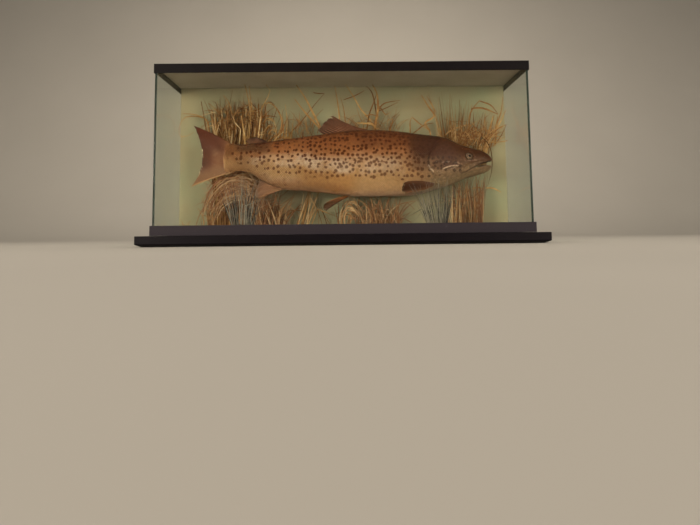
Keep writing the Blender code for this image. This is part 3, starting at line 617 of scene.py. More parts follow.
def troutSkinMaterial():
    # varnished skin over a filled body: browned back, ochre belly, spots, and the wet gloss of old varnish
    gloss = {"Coat Weight": 0.04, "Coat Roughness": 0.34, "Coat IOR": 1.5, "Specular IOR Level": 0.1}
    material, tree, shader = newMaterial("varnished trout skin", "#8a6040", 0.42, **gloss)
    lie = addNode(tree, "UVMap", uv_map="lieMap")
    along, up = addNode(tree, "SeparateXYZ", (addNode(tree, "UVMap", uv_map="toneMap"),)).node.outputs[:2]
    place = addNode(tree, "TexCoord", out="Object")
    stored = addNode(tree, "VertexColor", layer_name="marks")
    pale, dark, mouth = addNode(tree, "SeparateColor", (stored,)).node.outputs[:3]
    broad, fine, mottle = (
        addNode(tree, "TexNoise", {
            "Vector": place, "Scale": 1 / (size * mm), "Detail": octaves, "Roughness": grit})
        for size, octaves, grit in ((38, 4.0, 0.55), (5, 5.0, 0.6), (5, 3.0, 0.6))
    )
    wobble = addNode(tree, "Math", (broad, 0.22, -0.11), operation="MULTIPLY_ADD")
    height = level = addNode(tree, "Math", (up, wobble), operation="ADD")
    for low, high, soft, lift in skinPaint["rise"]:
        rise = band(tree, along, low, high, soft)
        level = addNode(tree, "Math", (rise, lift, level), operation="MULTIPLY_ADD")
    body = addNode(tree, "ValToRGB", (level,), stops=skinPaint["body"])
    face = addNode(tree, "ValToRGB", (height,), stops=skinPaint["face"])
    # the head's purple-brown runs back over the shoulder, further along the top than the flank
    shoulder = addNode(tree, "Math", (up, -0.05, along), operation="MULTIPLY_ADD")
    shoulder = addNode(tree, "Math", (wobble, 0.3, shoulder), operation="MULTIPLY_ADD")
    headShare = addNode(tree, "MapRange", (shoulder, 0.175, 0.265, 1.0, 0.0), interpolation_type="SMOOTHSTEP")
    patches = addNode(tree, "MapRange", (broad, 0.40, 0.60, 0.35, 1.0), interpolation_type="SMOOTHSTEP")
    masks = {"along": along, "up": up, "height": height, "level": level, "mottle": mottle,
             "headShare": headShare, "patches": patches}
    layers = [(face, 1.0, headShare)]
    for tint, strength, *held in skinPaint["layers"]:
        held = [masks[mask] if isinstance(mask, str) else (masks[mask[0]], *mask[1:]) for mask in held]
        layers.append((tint, strength, *held))
    colour = paintOver(tree, body, layers)
    grain = addNode(tree, "Math", (fine, 0.9, -0.45), operation="MULTIPLY_ADD")
    inputs = {0: grain, 6: colour, 7: "#c39a70"}
    colour = addNode(tree, "Mix", inputs, 2, data_type="RGBA", blend_type="SOFT_LIGHT")
    unevenly = addNode(tree, "Math", (fine, 0.5, 0.78), operation="MULTIPLY_ADD")
    spots = (spotMask(tree, lie, masks), unevenly)
    spots = addNode(tree, "Math", spots, operation="MULTIPLY", use_clamp=True)
    # the spots are fainter on the pale flank, and on the dark of the head's top
    depth = addNode(tree, "MapRange", (height, 0.42, 0.66, 0.72, 0.97), interpolation_type="SMOOTHSTEP")
    crown = product(tree, headShare, (height, 0.58, 2, 0.10))
    crown = addNode(tree, "Math", (crown, -0.6, 1.0), operation="MULTIPLY_ADD")
    spotColour = paintOver(tree, "#481b04", (("#2c160d", 1.0, headShare),))
    broken = addNode(tree, "MapRange", (fine, 0.42, 0.57, 0.12, 1.0), interpolation_type="SMOOTHSTEP")
    # the head's dark marks are mostly painted shade in creases, under lip, maxilla and gill cover's edge and
    # in the nostrils, with the real cheek spots; the pale streaks are partly painted highlights
    colour = paintOver(tree, colour, (
        (spotColour, 1.0, spots, depth, crown), ("#2a1912", 0.8, dark), ("#c9ab95", 0.85, pale, broken),
        # painted shade over the inside of the open mouth
        ("#2c160d", 1.0, mouth),
    ))
    # each scale has its own random tone, with a painted highlight along its raised rear rim and painted shade
    # at its front
    rim = ((0.0, "#909090"), (1.0, "#e0e0e0"))
    edges = addNode(tree, "ValToRGB", (stored.node.outputs["Alpha"],), stops=rim)
    colour = addNode(tree, "Mix", {0: 0.6, 6: colour, 7: edges}, 2, data_type="RGBA", blend_type="OVERLAY")
    dressShader(tree, shader, colour, (fine, 0.22, 0.36), (fine, 0.25, 0.5))
    return material


# scales: thin solid plates in staggered rows, each with its rear edge standing clear of the skin

scaleCoat = {
    "alongStep": 3.3, "rowStep": 2.35, "length": 5.0, "width": 4.9, "lift": 0.24, "sink": 0.5, "nape": 93,
    "lateral": 8, "patch": 0.0015,
    # round one scale: place along and across as shares of its size, height, and how much paler (painted
    # highlight) or darker (painted shade) it is
    "rim": ((-0.42, -0.36, -0.45, -0.15), (-0.42, 0.36, -0.45, -0.15), (-0.05, 0.5, 0.12, 0.0),
            (0.30, 0.40, 0.72, 0.2), (0.48, 0.18, 0.96, 0.3), (0.52, 0.0, 1.02, 0.3),
            (0.48, -0.18, 0.96, 0.3), (0.30, -0.40, 0.72, 0.2), (-0.05, -0.5, 0.12, 0.0),
            (0.05, 0, 0.44, 0.0)),
}


def scaleRoots():  # staggered rows, counted both ways from a line near the lateral line
    roots = []
    for number, s in enumerate(np.arange(84.0, 503, scaleCoat["alongStep"] / 2)):
        angles = np.array([math.radians(scaleCoat["lateral"]), math.pi / 2])
        middle, full = arcAt(np.full(2, s), angles)
        first = math.ceil((0.8 - middle) / scaleCoat["rowStep"])
        last = math.floor((full - 0.8 - middle) / scaleCoat["rowStep"])
        for row in range(first, last + 1):
            if (row + number) % 2 == 0:
                arc = middle + row * scaleCoat["rowStep"]
                roots.append((s, arc, angleAtArc(s, arc)))
    s, arc, angle = np.array(roots).T
    z = bodyPoint(s, angle)[:, 2]
    keep = (gillDistance(s, z) < -1.6) & (s > scaleCoat["nape"] + 6 * np.cos(angle * 2)) & (z > 80)
    keep &= s < 499.5 + 2.5 * np.sin(angle * 9) * (np.arange(len(s)) % 2)  # the last rows end unevenly
    return s[keep], arc[keep], angle[keep]


def scalePiece(name, side, tree, material):
    s, arc, angle = scaleRoots()
    count = len(s)
    here, back, over, under = (bodyPoint(*place) for place in (
        (s, angle), (s + 0.6, angle), (s, np.minimum(angle + 0.02, math.pi / 2)),
        (s, np.maximum(angle - 0.02, -math.pi / 2)),
    ))
    if side > 0:
        for part in (here, back, over, under):
            part[:, 1] = 2 * middleAt(trout["snoutX"] - part[:, 0]) - part[:, 1]
    along = unit(back - here)
    out = unit(np.cross(along, unit(over - under)) * -side)
    roots, normals = here * mm, out.copy()
    for k in range(count):
        start = Vector((here[k] + out[k] * 6) * mm)
        hit, normal, index, distance = tree.ray_cast(start, Vector(-out[k]), 0.02)
        if hit is not None:
            roots[k], normals[k] = hit, normal
    normals = unit(normals * 0.85 + out * 0.15)
    along = unit(along - (along * normals).sum(1)[:, None] * normals)
    turn = dice.normal(0, 0.05, count)[:, None]
    across = np.cross(normals, along)
    along, across = along * np.cos(turn) + across * np.sin(turn), across * np.cos(turn) - along * np.sin(turn)
    size = dice.uniform(0.93, 1.05, count) * (1 - 0.2 * ease(s, 118, 96))
    size = size * (1 - 0.2 * ease(s, 420, 480)) * (1 - 0.25 * ease(s, 478, 502))
    lift = dice.uniform(0.75, 1.2, count) * (1 - 0.55 * ease(s, 472, 500))
    # one scale: a low dome over its middle, a raised rear edge, and a foot sunk in the skin
    rim = np.array(scaleCoat["rim"])
    local = rim[:, :3] * (scaleCoat["length"], scaleCoat["width"], scaleCoat["lift"])
    local = np.concatenate([local, [(-0.4, 0, -scaleCoat["sink"])]])
    flat = local[None] * np.stack([size, size, lift], 1)[:, None] * mm
    points = (roots[:, None] + flat[..., :1] * along[:, None] + flat[..., 1:2] * across[:, None]
              + flat[..., 2:] * normals[:, None])
    faces = np.array([corners for k in range(9) for corners in ((9, k, (k + 1) % 9), (10, (k + 1) % 9, k))])
    allFaces = (faces[None] + 11 * np.arange(count)[:, None, None]).reshape(-1, 3)
    piece = meshPiece(name, points.reshape(-1, 3), allFaces.tolist())
    mesh = piece.data
    # a random tone for each scale, plus its rim's painted highlight and painted shade
    shade = dice.uniform(0.27, 0.70, count)[:, None] + np.append(rim[:, 3], -0.2)
    paintLie(mesh, np.clip(shade, 0, 1).ravel())
    # each scale has its own small patch of the OFBake map, at its root's place on an unwrap of the flank
    rootUv = np.stack([s / 520, arc / 165], 1)
    spread = local[:, :2] / (scaleCoat["length"] * 0.55, scaleCoat["width"] * 0.55)
    setUv(mesh, "OFBake", (rootUv[:, None] + spread[None] * scaleCoat["patch"]).reshape(-1, 2))
    mesh.shade_smooth()
    finishPiece(piece, [], material)
    print(name, count, "scales,", len(mesh.polygons), "triangles")


print("shape ready")
skinMaterial = troutSkinMaterial()
skin = skinPiece()
paintLie(skin.data)
finishPiece(skin, ["head", "lower_jaw", "trunk", "tail_stock", "gill_cover_right", "gill_cover_left",
                   "upper_jaw_right", "upper_jaw_left"], skinMaterial)
print("skin", len(skin.data.polygons), "faces")
depsgraph = bpy.context.evaluated_depsgraph_get()
skinTree = BVHTree.FromObject(skin, depsgraph)
for word, side in (("right", -1), ("left", 1)):
    scalePiece("scales_" + word, side, skinTree, skinMaterial)

# fins: membranes over rays that fork towards a frayed margin

def halfWidthAt(s, z):  # from the body's middle plane out to the flank, in millimetres
    angle = np.arcsin(np.abs(np.clip(shareAt(s, z), -1, 1)) ** (trout["squareness"] / 2))
    return widthAt(s) * np.cos(angle) ** (2 / trout["squareness"])


finSettings = {
    "caudal_fin": {
        "root": ((487, 188.6), (490, 180), (491, 160), (490, 140), (487, 132.4)),
        "margin": ((556, 222), (550.5, 209), (545.5, 195), (542, 180), (540.6, 163), (542, 146), (546.5, 132),
                   (552, 119), (558.3, 107.4)),
        "leadBend": 1.6, "trailBend": -1.8, "rays": 19, "fork": (0.22, 0.55), "thick": (4.0, 0.45),
        "fray": 0.035, "wave": 1.4, "ridge": 0.34, "columns": 190, "rows": 44, "rise": (0.15, 0.5),
    },
    "dorsal_fin": {
        "root": ((214, 211.4), (245, 211.6), (280, 208.6), (314, 204.6)),
        "margin": ((297.5, 241), (302.5, 239.5), (310, 233), (317.5, 224.5), (326.3, 214.4)),
        "leadBend": -5.4, "trailBend": 1.0, "rays": 12, "fork": (0.52, 0.86), "thick": (2.0, 0.4),
        "fray": 0.055, "wave": 1.7, "ridge": 0.7, "columns": 112, "rows": 40,
    },
    "anal_fin": {
        "root": ((387, 102.6), (402, 106.4), (418, 113.6), (433, 121)),
        "margin": ((431, 86.2), (438, 86.2), (443.5, 92), (441.5, 100), (438.5, 106)),
        "leadBend": 1.2, "trailBend": -1.0, "rays": 11, "fork": (0.4, 0.75), "thick": (1.8, 0.4),
        "fray": 0.05, "wave": 1.0, "ridge": 0.34, "columns": 92, "rows": 34,
    },
    "adipose_fin": {
        "root": ((420, 190.0), (432, 188.0), (444, 186.0), (455, 185.6)),
        "margin": ((430, 196.8), (438, 199.8), (447, 200.2), (455, 197.6), (460.6, 192.6)),
        "leadBend": 0.8, "trailBend": -1.4, "rays": 0, "fork": (0.5, 0.8), "thick": (3.0, 1.0),
        "fray": 0.0, "wave": 0.4, "ridge": 0.0, "columns": 36, "rows": 20,
    },
    "pectoral_fin": {
        "root": ((111, 108.6), (112, 107.5), (113, 106), (113.5, 104.2)),
        "margin": ((164.0, 111.2), (169.8, 108.6), (173.0, 102.5), (172.4, 95.5), (166.5, 90.4)),
        "leadBend": 2.6, "trailBend": 2.4, "rays": 13, "fork": (0.4, 0.72), "thick": (2.2, 0.4),
        "fray": 0.05, "wave": 0.7, "ridge": 0.36, "columns": 110, "rows": 38, "stand": (0.6, 7.5, 4.0),
    },
    "pelvic_fin": {
        "root": ((267, 91.0), (268.5, 89.4), (270, 87.8), (271, 86.0)),
        "margin": ((307.5, 77.5), (313.5, 74.0), (316.6, 69.4), (316.0, 64.8), (311.8, 61.6)),
        "leadBend": 1.8, "trailBend": -1.2, "rays": 9, "fork": (0.42, 0.75), "thick": (2.4, 0.45),
        "fray": 0.05, "wave": 0.5, "ridge": 0.4, "columns": 76, "rows": 34, "stand": (-2.5, 6.0, 3.0),
    },
}


def finPiece(name, kind, side=0):
    fin = finSettings[kind]
    columns, rows = fin["columns"], fin["rows"]
    u = np.linspace(0, 1, columns)[None, :]
    v = np.linspace(0, 1, rows)[:, None]

    def alongLine(points, t):
        line = rounded(points, 12)
        places = runOf(line)
        return np.stack([np.interp(t * places[-1], places, column) for column in line.T], -1)

    root, margin = alongLine(fin["root"], u[0]), alongLine(fin["margin"], u[0])
    seed = np.random.default_rng(sum(map(ord, name)))
    rays = max(fin["rays"], 1)
    # the margin wears back between the rays' ends, and here and there a ray has split further
    tips = np.cos(u[0] * rays * 4 * 2 * math.pi) * 0.22 + 0.22
    wear = np.interp(u[0], np.linspace(0, 1, rays * 2), seed.uniform(0, 1, rays * 2) ** 2.2)
    notch = fin["fray"] * (0.5 * tips + wear) * ease(u[0], 0, 0.06) * ease(u[0], 1, 0.94)
    reach = v * (1 - notch * v**2)
    flat = root[None] * (1 - reach[..., None]) + margin[None] * reach[..., None]
    ray = margin - root
    square = unit(np.stack([ray[:, 1], -ray[:, 0]], 1))
    bend = fin["trailBend"] * u[0] ** 2 - fin["leadBend"] * (1 - u[0]) ** 2
    flat = flat + (square * bend[:, None])[None] * (4 * reach * (1 - reach))[..., None]
    s, z = flat[..., 0], flat[..., 1]
    ripple = fin["wave"] * v**1.6 * (
        np.sin(u * 7.5 + seed.uniform(0, 6)) + 0.6 * np.sin(u * 15 + v * 3 + seed.uniform(0, 6))
    )
    points = np.stack([trout["snoutX"] - s, middleAt(s) + ripple, z], -1)
    if side:  # a paired fin stands off the flank, more towards its tip and its leading edge
        root, tip, lead = fin["stand"]
        start = halfWidthAt(s[:1], z[:1]).mean()
        flank = np.maximum(halfWidthAt(s, z), start * 0.92) if kind == "pectoral_fin" else start
        stand = root + (tip - root) * v**1.3 + lead * (1 - u) * v**1.2
        points[..., 1] = middleAt(s) + side * (flank + stand + ripple)
    # rays stand up on both faces, one at the root and four at the margin
    one, two, four = (0.5 + 0.5 * np.cos(2 * math.pi * rays * k * u) for k in (1, 2, 4))
    first, second = fin["fork"]
    split, again = ease(v, first, first + 0.14), ease(v, second, second + 0.14)
    ridge = (one**2.2 * (1 - split) + (two**1.9 * (1 - again) + four**1.6 * again) * split)
    ridge = ridge * (1 - 0.55 * v) * ease(v, *fin.get("rise", (0.0, 0.2))) * (fin["rays"] > 0)
    tickle = seed.uniform(0.7, 1.15, (rows, columns))
    thickRoot, thickMargin = fin["thick"]
    half = (thickRoot * (1 - v) ** 2 + thickMargin * (1 - (1 - v) ** 2)) / 2 + fin["ridge"] * ridge * tickle
    half = half * ease(u, -0.02, 0.03) * ease(u, 1.02, 0.97) * 0.85 + 0.12
    alongV, alongU = np.gradient(points, axis=0), np.gradient(points, axis=1)
    piece = gridPiece(name, points * mm)
    shell = piece.modifiers.new("thickness", "SOLIDIFY")
    shell.thickness, shell.offset = 0.8 * mm, 0
    bpy.ops.object.modifier_apply(modifier=shell.name)
    step = (unit(np.cross(alongU, alongV)) * half[..., None]).reshape(-1, 3)
    flatPoints = points.reshape(-1, 3)
    writePoints(piece.data, np.concatenate([flatPoints + step, flatPoints - step]) * mm)
    faceOutward(piece.data)
    bpy.ops.object.shade_smooth()
    setUv(piece.data, "finMap", np.tile(np.stack([u + 0 * v, v + 0 * u], -1).reshape(-1, 2), (2, 1)))
    flat = np.stack([ridge, 0 * ridge, 0 * ridge, 0 * ridge + 1], -1).reshape(-1, 4)
    setMarks(piece.data, "rays", np.tile(flat, (2, 1)))
    return piece


finColours = {  # root, middle and margin along the rays, the ray's tint, and the tints of the two edges
    "caudal_fin": ("#7a4e2d", "#622e17", "#4b200d", "#7c5136", "#4f1b09", "#7c573e"),
    "dorsal_fin": ("#3f1d0f", "#472313", "#38190b", "#9a664a", "#422011", "#2c1408"),
    "anal_fin": ("#865d41", "#7f5943", "#6e4c3a", "#94694b", "#875f44", "#644330"),
    "adipose_fin": ("#643a22", "#5f3720", "#3d2113", "#774a2f", "#442413", "#5e3820"),
    "pectoral_fin": ("#5a331d", "#4b2412", "#3f1f0e", "#6b3c22", "#5c341e", "#6e452c"),
    "pelvic_fin": ("#83502a", "#693c1f", "#472812", "#84512a", "#835129", "#3b1e0c"),
}


def finMaterial(kind):
    # dried, varnished fin membrane: stained darker than in life, with paler rays and a chipped margin
    root, middle, margin, rayTint, lead, trail = finColours[kind]
    isTail = kind == "caudal_fin"
    gloss = {"Coat Weight": 0.05, "Coat Roughness": 0.34, "Specular IOR Level": 0.18}
    material, tree, shader = newMaterial("varnished " + kind.replace("_", " "), middle, 0.45, **gloss)
    u, v = addNode(tree, "SeparateXYZ", (addNode(tree, "UVMap", uv_map="finMap"),)).node.outputs[:2]
    rays = addNode(tree, "SeparateColor", (addNode(tree, "VertexColor", layer_name="rays"),))
    place = addNode(tree, "TexCoord", out="Object")
    blotch = addNode(tree, "TexNoise", {"Vector": place, "Scale": 1 / (13 * mm), "Detail": 4.0})
    fine = addNode(tree, "TexNoise", {"Vector": place, "Scale": 1 / (2.2 * mm), "Detail": 3.0})
    shaken = addNode(tree, "Math", (blotch, 0.5, -0.25), operation="MULTIPLY_ADD")
    shaken = addNode(tree, "Math", (shaken, v), operation="ADD")
    first, second = (0.10, 0.50) if isTail else (0.0, 0.38)
    colour = addNode(tree, "ValToRGB", (shaken,), stops=((first, root), (second, middle), (0.95, margin)))
    # the tail's upper lobe reddens away from its root
    leading = ((u, -1, 0.24, 0.34), (v, 0.44, 2, 0.42)) if isTail else ((u, -1, 0.16, 0.22),)
    rayShow = 1.0 if kind == "dorsal_fin" else 0.6
    layers = ((lead, 1.0, *leading), (trail, 1.0, (u, 0.84, 2, 0.22)), (rayTint, rayShow, rays))
    inputs = {0: product(tree, fine, 0.5), 6: paintOver(tree, colour, layers), 7: "#3c2117"}
    colour = addNode(tree, "Mix", inputs, 2, data_type="RGBA", blend_type="SOFT_LIGHT")
    worn = 0.25 if finSettings[kind]["fray"] else 0.0
    if isTail:  # bare filler shows where the margin has chipped, mostly over the middle rays
        worn = (band(tree, u, 0.40, 0.50, 0.03), band(tree, u, 0.66, 0.82, 0.03))
        worn = addNode(tree, "Math", worn, operation="MAXIMUM")
        colour = paintOver(tree, colour, (
            ("#a37b54", 0.7, (u, 0.972, 1.2, 0.015)),
            ("#a8825f", 1.2, (u, 0.44, 0.66, 0.22), (v, 0.24, 0.50, 0.26), rays, blotch),
        ))
    chipped = addNode(tree, "Math", (fine, 0.56), operation="GREATER_THAN")
    colour = paintOver(tree, colour, (("#d9c6a4", 1.0, (v, 0.965, 2, 0.02), chipped, worn),))
    dressShader(tree, shader, colour, (fine, 0.25, 0.34), (fine, 0.2, 0.4))
    return material


for kind in finSettings:
    coat = finMaterial(kind)
    if "stand" in finSettings[kind]:
        for word, side in (("right", -1), ("left", 1)):
            finishPiece(finPiece(f"{kind}_{word}_rayed", kind, side), [f"{kind}_{word}"], coat)
    else:
        finishPiece(finPiece(kind + "_rayed", kind), [kind], coat)
print("fins ready")


# glass eyes: a flattened clear ball over a painted iris

def glassEyeMaterial():
    # painted glass: black pupil, brass ring, brown iris and a dark edge under a clear gloss
    gloss = {"Coat Weight": 0.14, "Coat Roughness": 0.03, "Coat IOR": 1.45, "Specular IOR Level": 0.05}
    material, tree, shader = newMaterial("painted glass eye", "#5a3c26", 0.5, **gloss)
    where = addNode(tree, "UVMap", uv_map="eyeMap")
    radius = addNode(tree, "VectorMath", (where,), "Value", operation="LENGTH")
    flecks = addNode(tree, "TexNoise", {"Vector": where, "Scale": 5.0, "Detail": 4.0})
    shaken = addNode(tree, "Math", (flecks, 0.10, -0.05), operation="MULTIPLY_ADD")
    shaken = addNode(tree, "Math", (radius, shaken), operation="ADD")
    dressShader(tree, shader, addNode(tree, "ValToRGB", (shaken,), stops=eyes["rings"]))
    return material


def eyePiece(name, side):
    s, z = np.array(eyes["s"]), np.array(eyes["z"])
    slopeS = (halfWidthAt(s + 3, z) - halfWidthAt(s - 3, z)) / 6
    slopeZ = (halfWidthAt(s, z + 3) - halfWidthAt(s, z - 3)) / 6
    out = Vector((float(slopeS), side, float(-slopeZ))).normalized()
    y = float(middleAt(s) + side * halfWidthAt(s, z))
    centre = Vector((trout["snoutX"] - eyes["s"], y, eyes["z"])) - out * eyes["sunk"]
    deselectAll()
    bpy.ops.mesh.primitive_uv_sphere_add(segments=48, ring_count=32, radius=eyes["radius"] * mm)
    piece = bpy.context.object
    piece.name = piece.data.name = name
    points = readPoints(piece.data) / mm
    setUv(piece.data, "eyeMap", points[:, :2] / eyes["radius"])
    points[:, 2] *= eyes["bulge"] / eyes["radius"]
    turn = np.array(out.to_track_quat("Z", "X").to_matrix())
    writePoints(piece.data, (points @ turn.T + np.array(centre)) * mm)
    bpy.ops.object.shade_smooth()
    return piece


eyeMaterial = glassEyeMaterial()
for word, side in (("right", -1), ("left", 1)):
    finishPiece(eyePiece(f"glass_eye_{word}", side), [f"eye_{word}"], eyeMaterial)


# modelled wax tongue, painted a dull flesh colour
waxTongue = mottledMaterial("painted wax tongue", "#86604a", 0.35, 3, 3.0, ("#7a5442", "#a17c60"),
                            bump=(0.2, 0.5), **{"Coat Weight": 0.5})


def dressNode(name, material):  # a CAD node that stays takes a finished material
    slots = bpy.data.objects[name].data.materials
    for k in range(len(slots)):
        slots[k] = material
    if not slots:
        slots.append(material)


dressNode("tongue", waxTongue)
print("eyes ready")


# reeds: bent, folded blades of dried sedge and straw

reedRoom = {"side": 318, "back": 70.4, "floor": 24.2, "top": 306, "gap": 2.5}


def keepInside(path):  # behind the trout where it passes it, and clear of the lid, the board and the panes
    x, y, z = path.T
    s = trout["snoutX"] - x
    high, low = backAt(s) + 3, bellyAt(s) - 3
    beside = (s > 0) & (s < trout["tailEnd"]) & (y > 0)
    beside &= (z < np.minimum(high, 215)) & (z > np.maximum(low, 84))
    s = np.clip(s, 0, trout["tailEnd"])
    far = middleAt(s) + halfWidthAt(s, np.clip(z, low + 3, high - 3)) + reedRoom["gap"]
    y = np.minimum(np.where(beside, np.maximum(y, far), y), reedRoom["back"])
    x = np.clip(x, -reedRoom["side"], reedRoom["side"])
    return np.stack([x, y, np.clip(z, reedRoom["floor"], reedRoom["top"])], 1)


def addBlade(store, path, width, tone, twist=0.0, tip=0.12, blush=0.0, browning=1.0):
    path = keepInside(path)
    count = len(path)
    t = np.linspace(0, 1, count)
    tangent = unit(np.gradient(path, axis=0))
    facing = np.stack([np.sin(twist * (0.4 + t)), -np.cos(twist * (0.4 + t)), 0 * t], 1)
    side = unit(np.cross(tangent, facing))
    half = width / 2 * (0.7 + 0.3 * ease(t, 0, 0.25)) * (1 - (1 - tip) * ease(t, 0.5, 1.0) ** 1.2)
    half = half[:, None]
    fold = np.cross(side, tangent) * (half * 0.34 + 0.15)  # the midrib stands up between the edges
    start = 3 * store["count"]
    store["count"] += count
    store["points"].append(np.stack([path - side * half, path + fold, path + side * half], 1).reshape(-1, 3))
    for a in range(start, start + 3 * (count - 1), 3):
        store["faces"] += [(a + i, a + j, a + 3 + j, a + 3 + i) for i, j in ((0, 1), (1, 2), (2, 0))]
    last = start + 3 * (count - 1)
    store["faces"] += [(start, start + 2, start + 1), (last, last + 1, last + 2)]
    uv = np.stack([np.repeat(t * runOf(path)[-1], 3), np.tile([-0.5, 0.0, 0.5], count) * width], 1)
    store["uv"].append(uv * mm + dice.uniform(0, 3, 2))
    lot = dice.uniform(0, browning)
    same = np.ones(3 * count)
    store["tone"].append(np.stack([tone * same, np.repeat(t, 3), lot * same, blush * same], 1))


def growTuft(store, tuft):  # a bunch of blades, fanned out, some broken over near the tip
    for k in range(tuft["count"]):
        place = dice.uniform(-1, 1)
        x = sum(tuft["x"]) / 2 + place * (tuft["x"][1] - tuft["x"][0]) / 2
        y = dice.uniform(*tuft["y"])
        z = tuft["z"] + dice.uniform(0, tuft["rise"])
        length = dice.uniform(*tuft["length"])
        heading = math.radians(tuft["lean"][0] + place * tuft["fan"] + dice.normal(0, tuft["lean"][1]))
        curl = math.radians(tuft["curl"][0] + dice.normal(0, tuft["curl"][1]))
        steps = 8 if abs(curl) < 1 else 12
        forward = dice.uniform(*tuft["forward"])
        kink = dice.uniform(0.5, 0.85) if dice.uniform(0, 1) < tuft["broken"] else 2
        fall = math.radians(dice.uniform(45, 125)) * dice.choice([-1, 1])
        points = [(x, y, z)]
        for n in range(1, steps + 1):
            t = n / steps
            h = heading + curl * t**1.4 + (fall if t > kink else 0)
            x += math.sin(h) * length / steps
            z += math.cos(h) * length / steps
            points.append((x, y - forward * t**1.5, z))
        addBlade(store, np.array(points), dice.uniform(*tuft["width"]), dice.uniform(*tuft["tone"]),
                 dice.normal(0, 0.7), tip=dice.uniform(0.05, 0.5), blush=tuft["blush"])


def growArch(store, arch):  # blades that rise on one side, bow over and come down on the other
    for k in range(arch["count"]):
        share = dice.uniform(0, 1)
        ends = (arch["left"], arch["right"], arch["top"])
        left, right, top = (first + (last - first) * share for first, last in ends)
        top += dice.normal(0, arch["loose"])
        left, right = left + dice.normal(0, arch["loose"]), right + dice.normal(0, arch["loose"] * 1.5)
        start = dice.uniform(0, 0.55)
        stop = min(1.0, start + dice.uniform(0.3, 0.75))
        bow = dice.uniform(0.6, 1.25)
        y = dice.uniform(*arch["y"])
        points = []
        for t in np.linspace(start, stop, 12):
            angle = math.pi * (1 - t)
            x = (left + right) / 2 + (right - left) / 2 * math.cos(angle) + arch["lean"] * math.sin(angle)
            rise = math.sin(angle) ** bow
            z = arch["foot"][0] * (1 - t) + arch["foot"][1] * t
            points.append((x, y - 4 * rise, z + (top - z) * rise + dice.normal(0, 0.5)))
        addBlade(store, np.array(points), dice.uniform(*arch["width"]), dice.uniform(*arch["tone"]),
                 dice.normal(0, 0.6), tip=dice.uniform(0.2, 0.6), blush=arch["blush"])


def bladePiece(name, store):
    piece = meshPiece(name, np.concatenate(store["points"]) * mm, store["faces"])
    setUv(piece.data, "bladeMap", np.concatenate(store["uv"]))
    setMarks(piece.data, "bladeTone", np.concatenate(store["tone"]))
    return piece


def driedLeafMaterial(name, colours, tipColour):
    # dried leaf: fibres run along the blade, the tips bleach or brown, and old damp leaves dark blotches
    material, tree, shader = newMaterial(name, colours[1], 0.66, **{"Specular IOR Level": 0.15})
    where = addNode(tree, "UVMap", uv_map="bladeMap")
    stored = addNode(tree, "VertexColor", layer_name="bladeTone")
    shade, along, lot = addNode(tree, "SeparateColor", (stored,)).node.outputs[:3]
    stretched = addNode(tree, "Mapping", {"Vector": where, "Scale": (1 / (26 * mm), 1 / (0.45 * mm), 1.0)})
    fibres = addNode(tree, "TexNoise", {"Vector": stretched, "Scale": 1.0, "Detail": 3.0})
    damp = addNode(tree, "TexNoise", {"Vector": where, "Scale": 1 / (11 * mm), "Detail": 3.0})
    for noise, amount in ((damp, 0.7), (fibres, 0.5)):
        shade = addNode(tree, "Math", (noise, amount, shade), operation="MULTIPLY_ADD")
    shade = addNode(tree, "Math", (shade, 0.6), operation="SUBTRACT")
    colour = addNode(tree, "ValToRGB", (shade,), stops=tuple(zip((0.08, 0.38, 0.66, 0.95), colours)))
    colour = paintOver(tree, colour, (
        (tipColour, 1.0, (along, 0.82, 2, 0.15), lot), ("#976850", 0.45, stored.node.outputs["Alpha"]),
    ))
    dressShader(tree, shader, colour, None, (fibres, 0.15, 0.6))
    return material


